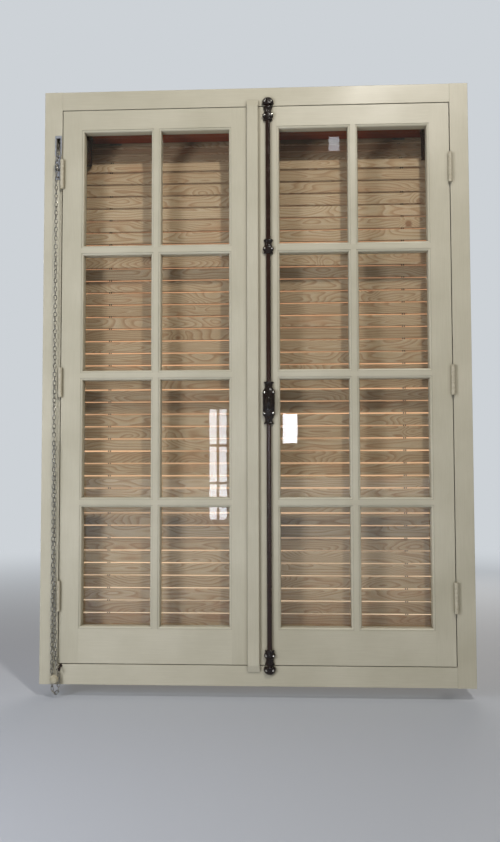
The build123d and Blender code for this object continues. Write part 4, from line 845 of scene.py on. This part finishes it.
# Wire hooks that carry each slat on the one above, in three columns
hook = {"columns": (-473, 0, 473), "y": 100, "first": 82.25, "pitch": 39.6, "rows": 38, "radius": 1.6,
        "half": 3.0, "reach": 8, "leanFirst": 1626.65, "leans": (18, 35, 35, 35)}


def slatHook(x, y, z, tilt):
    # a flat staple: two legs joined by round eyes, one in each slat
    up = Vector((0, math.sin(tilt), math.cos(tilt)))
    loop = []
    for a in roundSteps(16):
        high = hook["reach"] * math.copysign(abs(math.sin(a)) ** 0.6, math.sin(a))
        p = Vector((x + hook["half"] * math.cos(a), y, z)) + up * high
        loop.append(at(p.x, p.y, p.z))
    return wire(loop, hook["radius"], 6, True)


straightHooks = []
for k in range(hook["rows"]):
    for x in hook["columns"]:
        straightHooks.append(slatHook(x, hook["y"], hook["first"] + k * hook["pitch"], 0))
slatHookPiece = makePiece("slatHooks", straightHooks, "curtain", hookSteel)
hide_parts("shutter_hooks")

leanHooks = []
y, z = hook["y"], hook["leanFirst"]
for degrees in hook["leans"]:
    tilt = math.radians(degrees)
    for x in hook["columns"]:
        leanHooks.append(slatHook(x, y, z, tilt))
    y += hook["pitch"] * math.sin(tilt)
    z += hook["pitch"] * math.cos(tilt)
topHookPiece = makePiece("topSlatHooks", leanHooks, "leaning_part", hookSteel)
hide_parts("leaning_hooks")
print("slat hooks made")

# Stage: a pale floor that melts into the pale background, and a glowing card behind the curtain's gaps
# that stands in for the light outside, both in metres, apart from the card's bright patches, in mm
stage = {"floorZ": -0.04, "reach": 30, "fadeFrom": 0.9, "fadeTo": 4.5, "light": 0.24,
         "backdrop": "#CDD2D7", "room": "#7A756E", "floor": "#C3C7CD"}
yard = {"y": 0.087, "half": 0.589, "low": -0.02, "high": 1.62, "patch": (625, 1000, 25)}


def stagePlane(name, corners, finish):
    mesh = bpy.data.meshes.new(name)
    mesh.from_pydata(corners, [], [(0, 1, 2, 3)])
    mesh.materials.append(finish)
    made = bpy.data.objects.new(name, mesh)
    scene.collection.objects.link(made)
    return made


def paleFloor():
    finish, tree, place = start("paleFloor")
    path = add(tree, "LightPath", {}, {}).outputs
    direct = {0: path["Is Camera Ray"], 1: path["Is Transmission Ray"]}
    seen = add(tree, "Math", {"operation": "MAXIMUM"}, direct)
    seen = add(tree, "Math", {"operation": "MAXIMUM"}, {0: seen, 1: path["Is Glossy Ray"]})
    away = add(tree, "VectorMath", {"operation": "LENGTH"}, {0: place}).outputs["Value"]
    fade = {"Value": away, "From Min": stage["fadeFrom"], "From Max": stage["fadeTo"]}
    far = add(tree, "MapRange", {"interpolation_type": "SMOOTHSTEP"}, fade)
    share = add(tree, "Math", {"operation": "MULTIPLY"}, {0: far, 1: seen})
    matt = add(tree, "BsdfDiffuse", {}, {"Color": linear(stage["floor"])})
    glow = add(tree, "Emission", {}, {"Color": linear(stage["backdrop"])})
    add(tree, "OutputMaterial", {}, {"Surface": add(tree, "MixShader", {}, {0: share, 1: matt, 2: glow})})
    sides = ((-1, -1), (1, -1), (1, 1), (-1, 1))
    stagePlane("floor", [(x * stage["reach"], y * stage["reach"], stage["floorZ"]) for x, y in sides], finish)


def sunlitYard():
    # right behind the curtain and seen only through the panes, a glowing card that stands in for the light
    # outside:
    # pale low down, and brown under the box as painted shade of the box
    finish, tree, place = start("sunlitYard")
    split = add(tree, "SeparateXYZ", {}, {0: place}).outputs
    height = {"Value": split["Z"], "From Min": yard["low"], "From Max": yard["high"]}
    climb = add(tree, "MapRange", {}, height)
    # painted light and shade: the glow's colour by height, the brown top stop standing for the shade under
    # the box
    glowAndBoxShade = [(0.0, "#F6E2C2"), (0.3, "#EDC29A"), (0.71, "#E4AA80"), (0.903, "#DFA37C"), (0.918, "#7F6A54")]
    warm = add(tree, "ValToRGB", {"stops": glowAndBoxShade}, {"Fac": climb})
    rows = add(tree, "Mapping", {}, {"Vector": place, "Scale": [1000 / s for s in yard["patch"]]})
    uneven = add(tree, "TexNoise", {}, {"Vector": rows, "Scale": 1.0, "Detail": 1.0})
    spread = {"Value": uneven, "From Min": 0.3, "From Max": 0.7, "To Min": 0.5, "To Max": 1.25}
    shine = add(tree, "MapRange", {}, spread)
    lit = add(tree, "Emission", {}, {"Color": warm, "Strength": shine})
    add(tree, "OutputMaterial", {}, {"Surface": lit})
    sides = ((-1, "low"), (1, "low"), (1, "high"), (-1, "high"))
    card = stagePlane("yardCard", [(x * yard["half"], yard["y"], yard[end]) for x, end in sides], finish)
    for rays in ("camera", "diffuse", "glossy", "shadow"):
        setattr(card, "visible_" + rays, False)


def studioWorld():
    world = bpy.data.worlds.new("studio")
    scene.world = world
    world.use_nodes = True
    air = world.node_tree
    path = add(air, "LightPath", {}, {}).outputs
    direct = {0: path["Is Camera Ray"], 1: path["Is Transmission Ray"]}
    seen = add(air, "Math", {"operation": "MAXIMUM"}, direct)
    pale = linear(stage["backdrop"])
    # the room lights the window a little less from the right
    facing = add(air, "SeparateXYZ", {}, {0: add(air, "TexCoord", {}, {}).outputs["Generated"]}).outputs
    sides = {"To Min": 1.25 * stage["light"], "To Max": 0.75 * stage["light"]}
    level = add(air, "MapRange", {}, {"Value": facing["X"], "From Min": -1, "From Max": 1, **sides})
    sky = add(air, "Mix", blend, {0: seen, 6: level, 7: pale})
    # what metal and glass mirror: the pale backdrop behind the window, a dimmer room in front of it
    behind = add(air, "MapRange", {}, {"Value": facing["Y"], "From Min": -0.2, "From Max": 0.4})
    mirrored = add(air, "Mix", blend, {0: behind, 6: linear(stage["room"]), 7: pale})
    shown = add(air, "Mix", blend, {0: path["Is Glossy Ray"], 6: sky, 7: mirrored})
    air.links.new(shown.outputs[2], air.nodes["Background"].inputs["Color"])


def lamp(name, place, target, size, watts, colour, unseen=()):
    data = bpy.data.lights.new(name, "AREA")
    data.shape = "RECTANGLE"
    data.size, data.size_y = size
    data.energy = watts
    data.color = linear(colour)[:3]
    made = bpy.data.objects.new(name, data)
    scene.collection.objects.link(made)
    made.location = place
    made.rotation_mode = "QUATERNION"
    made.rotation_quaternion = (Vector(target) - Vector(place)).to_track_quat("-Z", "Y")
    for rays in ("camera", "transmission", *unseen):
        setattr(made, "visible_" + rays, False)


paleFloor()
sunlitYard()
studioWorld()
# each lamp's place, target and size in metres, its watts and its colour
lamp("keyLamp", (0.75, -2.15, 3.1), (0, 0, 0.75), (0.18, 0.18), 38, "#FFFAF3")
lamp("sideLamp", (-1.6, -2.0, 1.0), (-0.3, 0, 0.7), (0.6, 0.9), 30, "#EEF2FF", ["glossy"])
lamp("backLamp", (0.6, 2.6, 1.6), (0, 0, 0.9), (2.0, 2.0), 34, "#FFF6EA", ["glossy"])

# Soft boxes that only the panes mirror, so that they read as glass: a tall window of six panes,
# and two small ones given as place, size and watts
softBox = {"y": -3.0, "colour": "#F2F6FF"}
tall = {"x": -0.376, "z": 0.66, "wide": 0.05, "high": 0.24, "gap": 0.018, "watts": 0.55}


def mirroredBox(name, x, z, size, watts):
    lamp(name, (x, softBox["y"], z), (x, 0, z), size, watts, softBox["colour"], ["diffuse"])


for row in (-1, 0, 1):
    for side in (-0.5, 0.5):
        x = tall["x"] + side * (tall["wide"] + tall["gap"])
        z = tall["z"] + row * (tall["high"] + tall["gap"])
        mirroredBox("tallBox", x, z, (tall["wide"], tall["high"]), tall["watts"])
for x, z, size, watts in ((0.12, 0.905, (0.1, 0.2), 1.5), (0.435, 2.888, (0.075, 0.1), 0.16)):
    mirroredBox("smallBox", x, z, size, watts)
print("stage set")
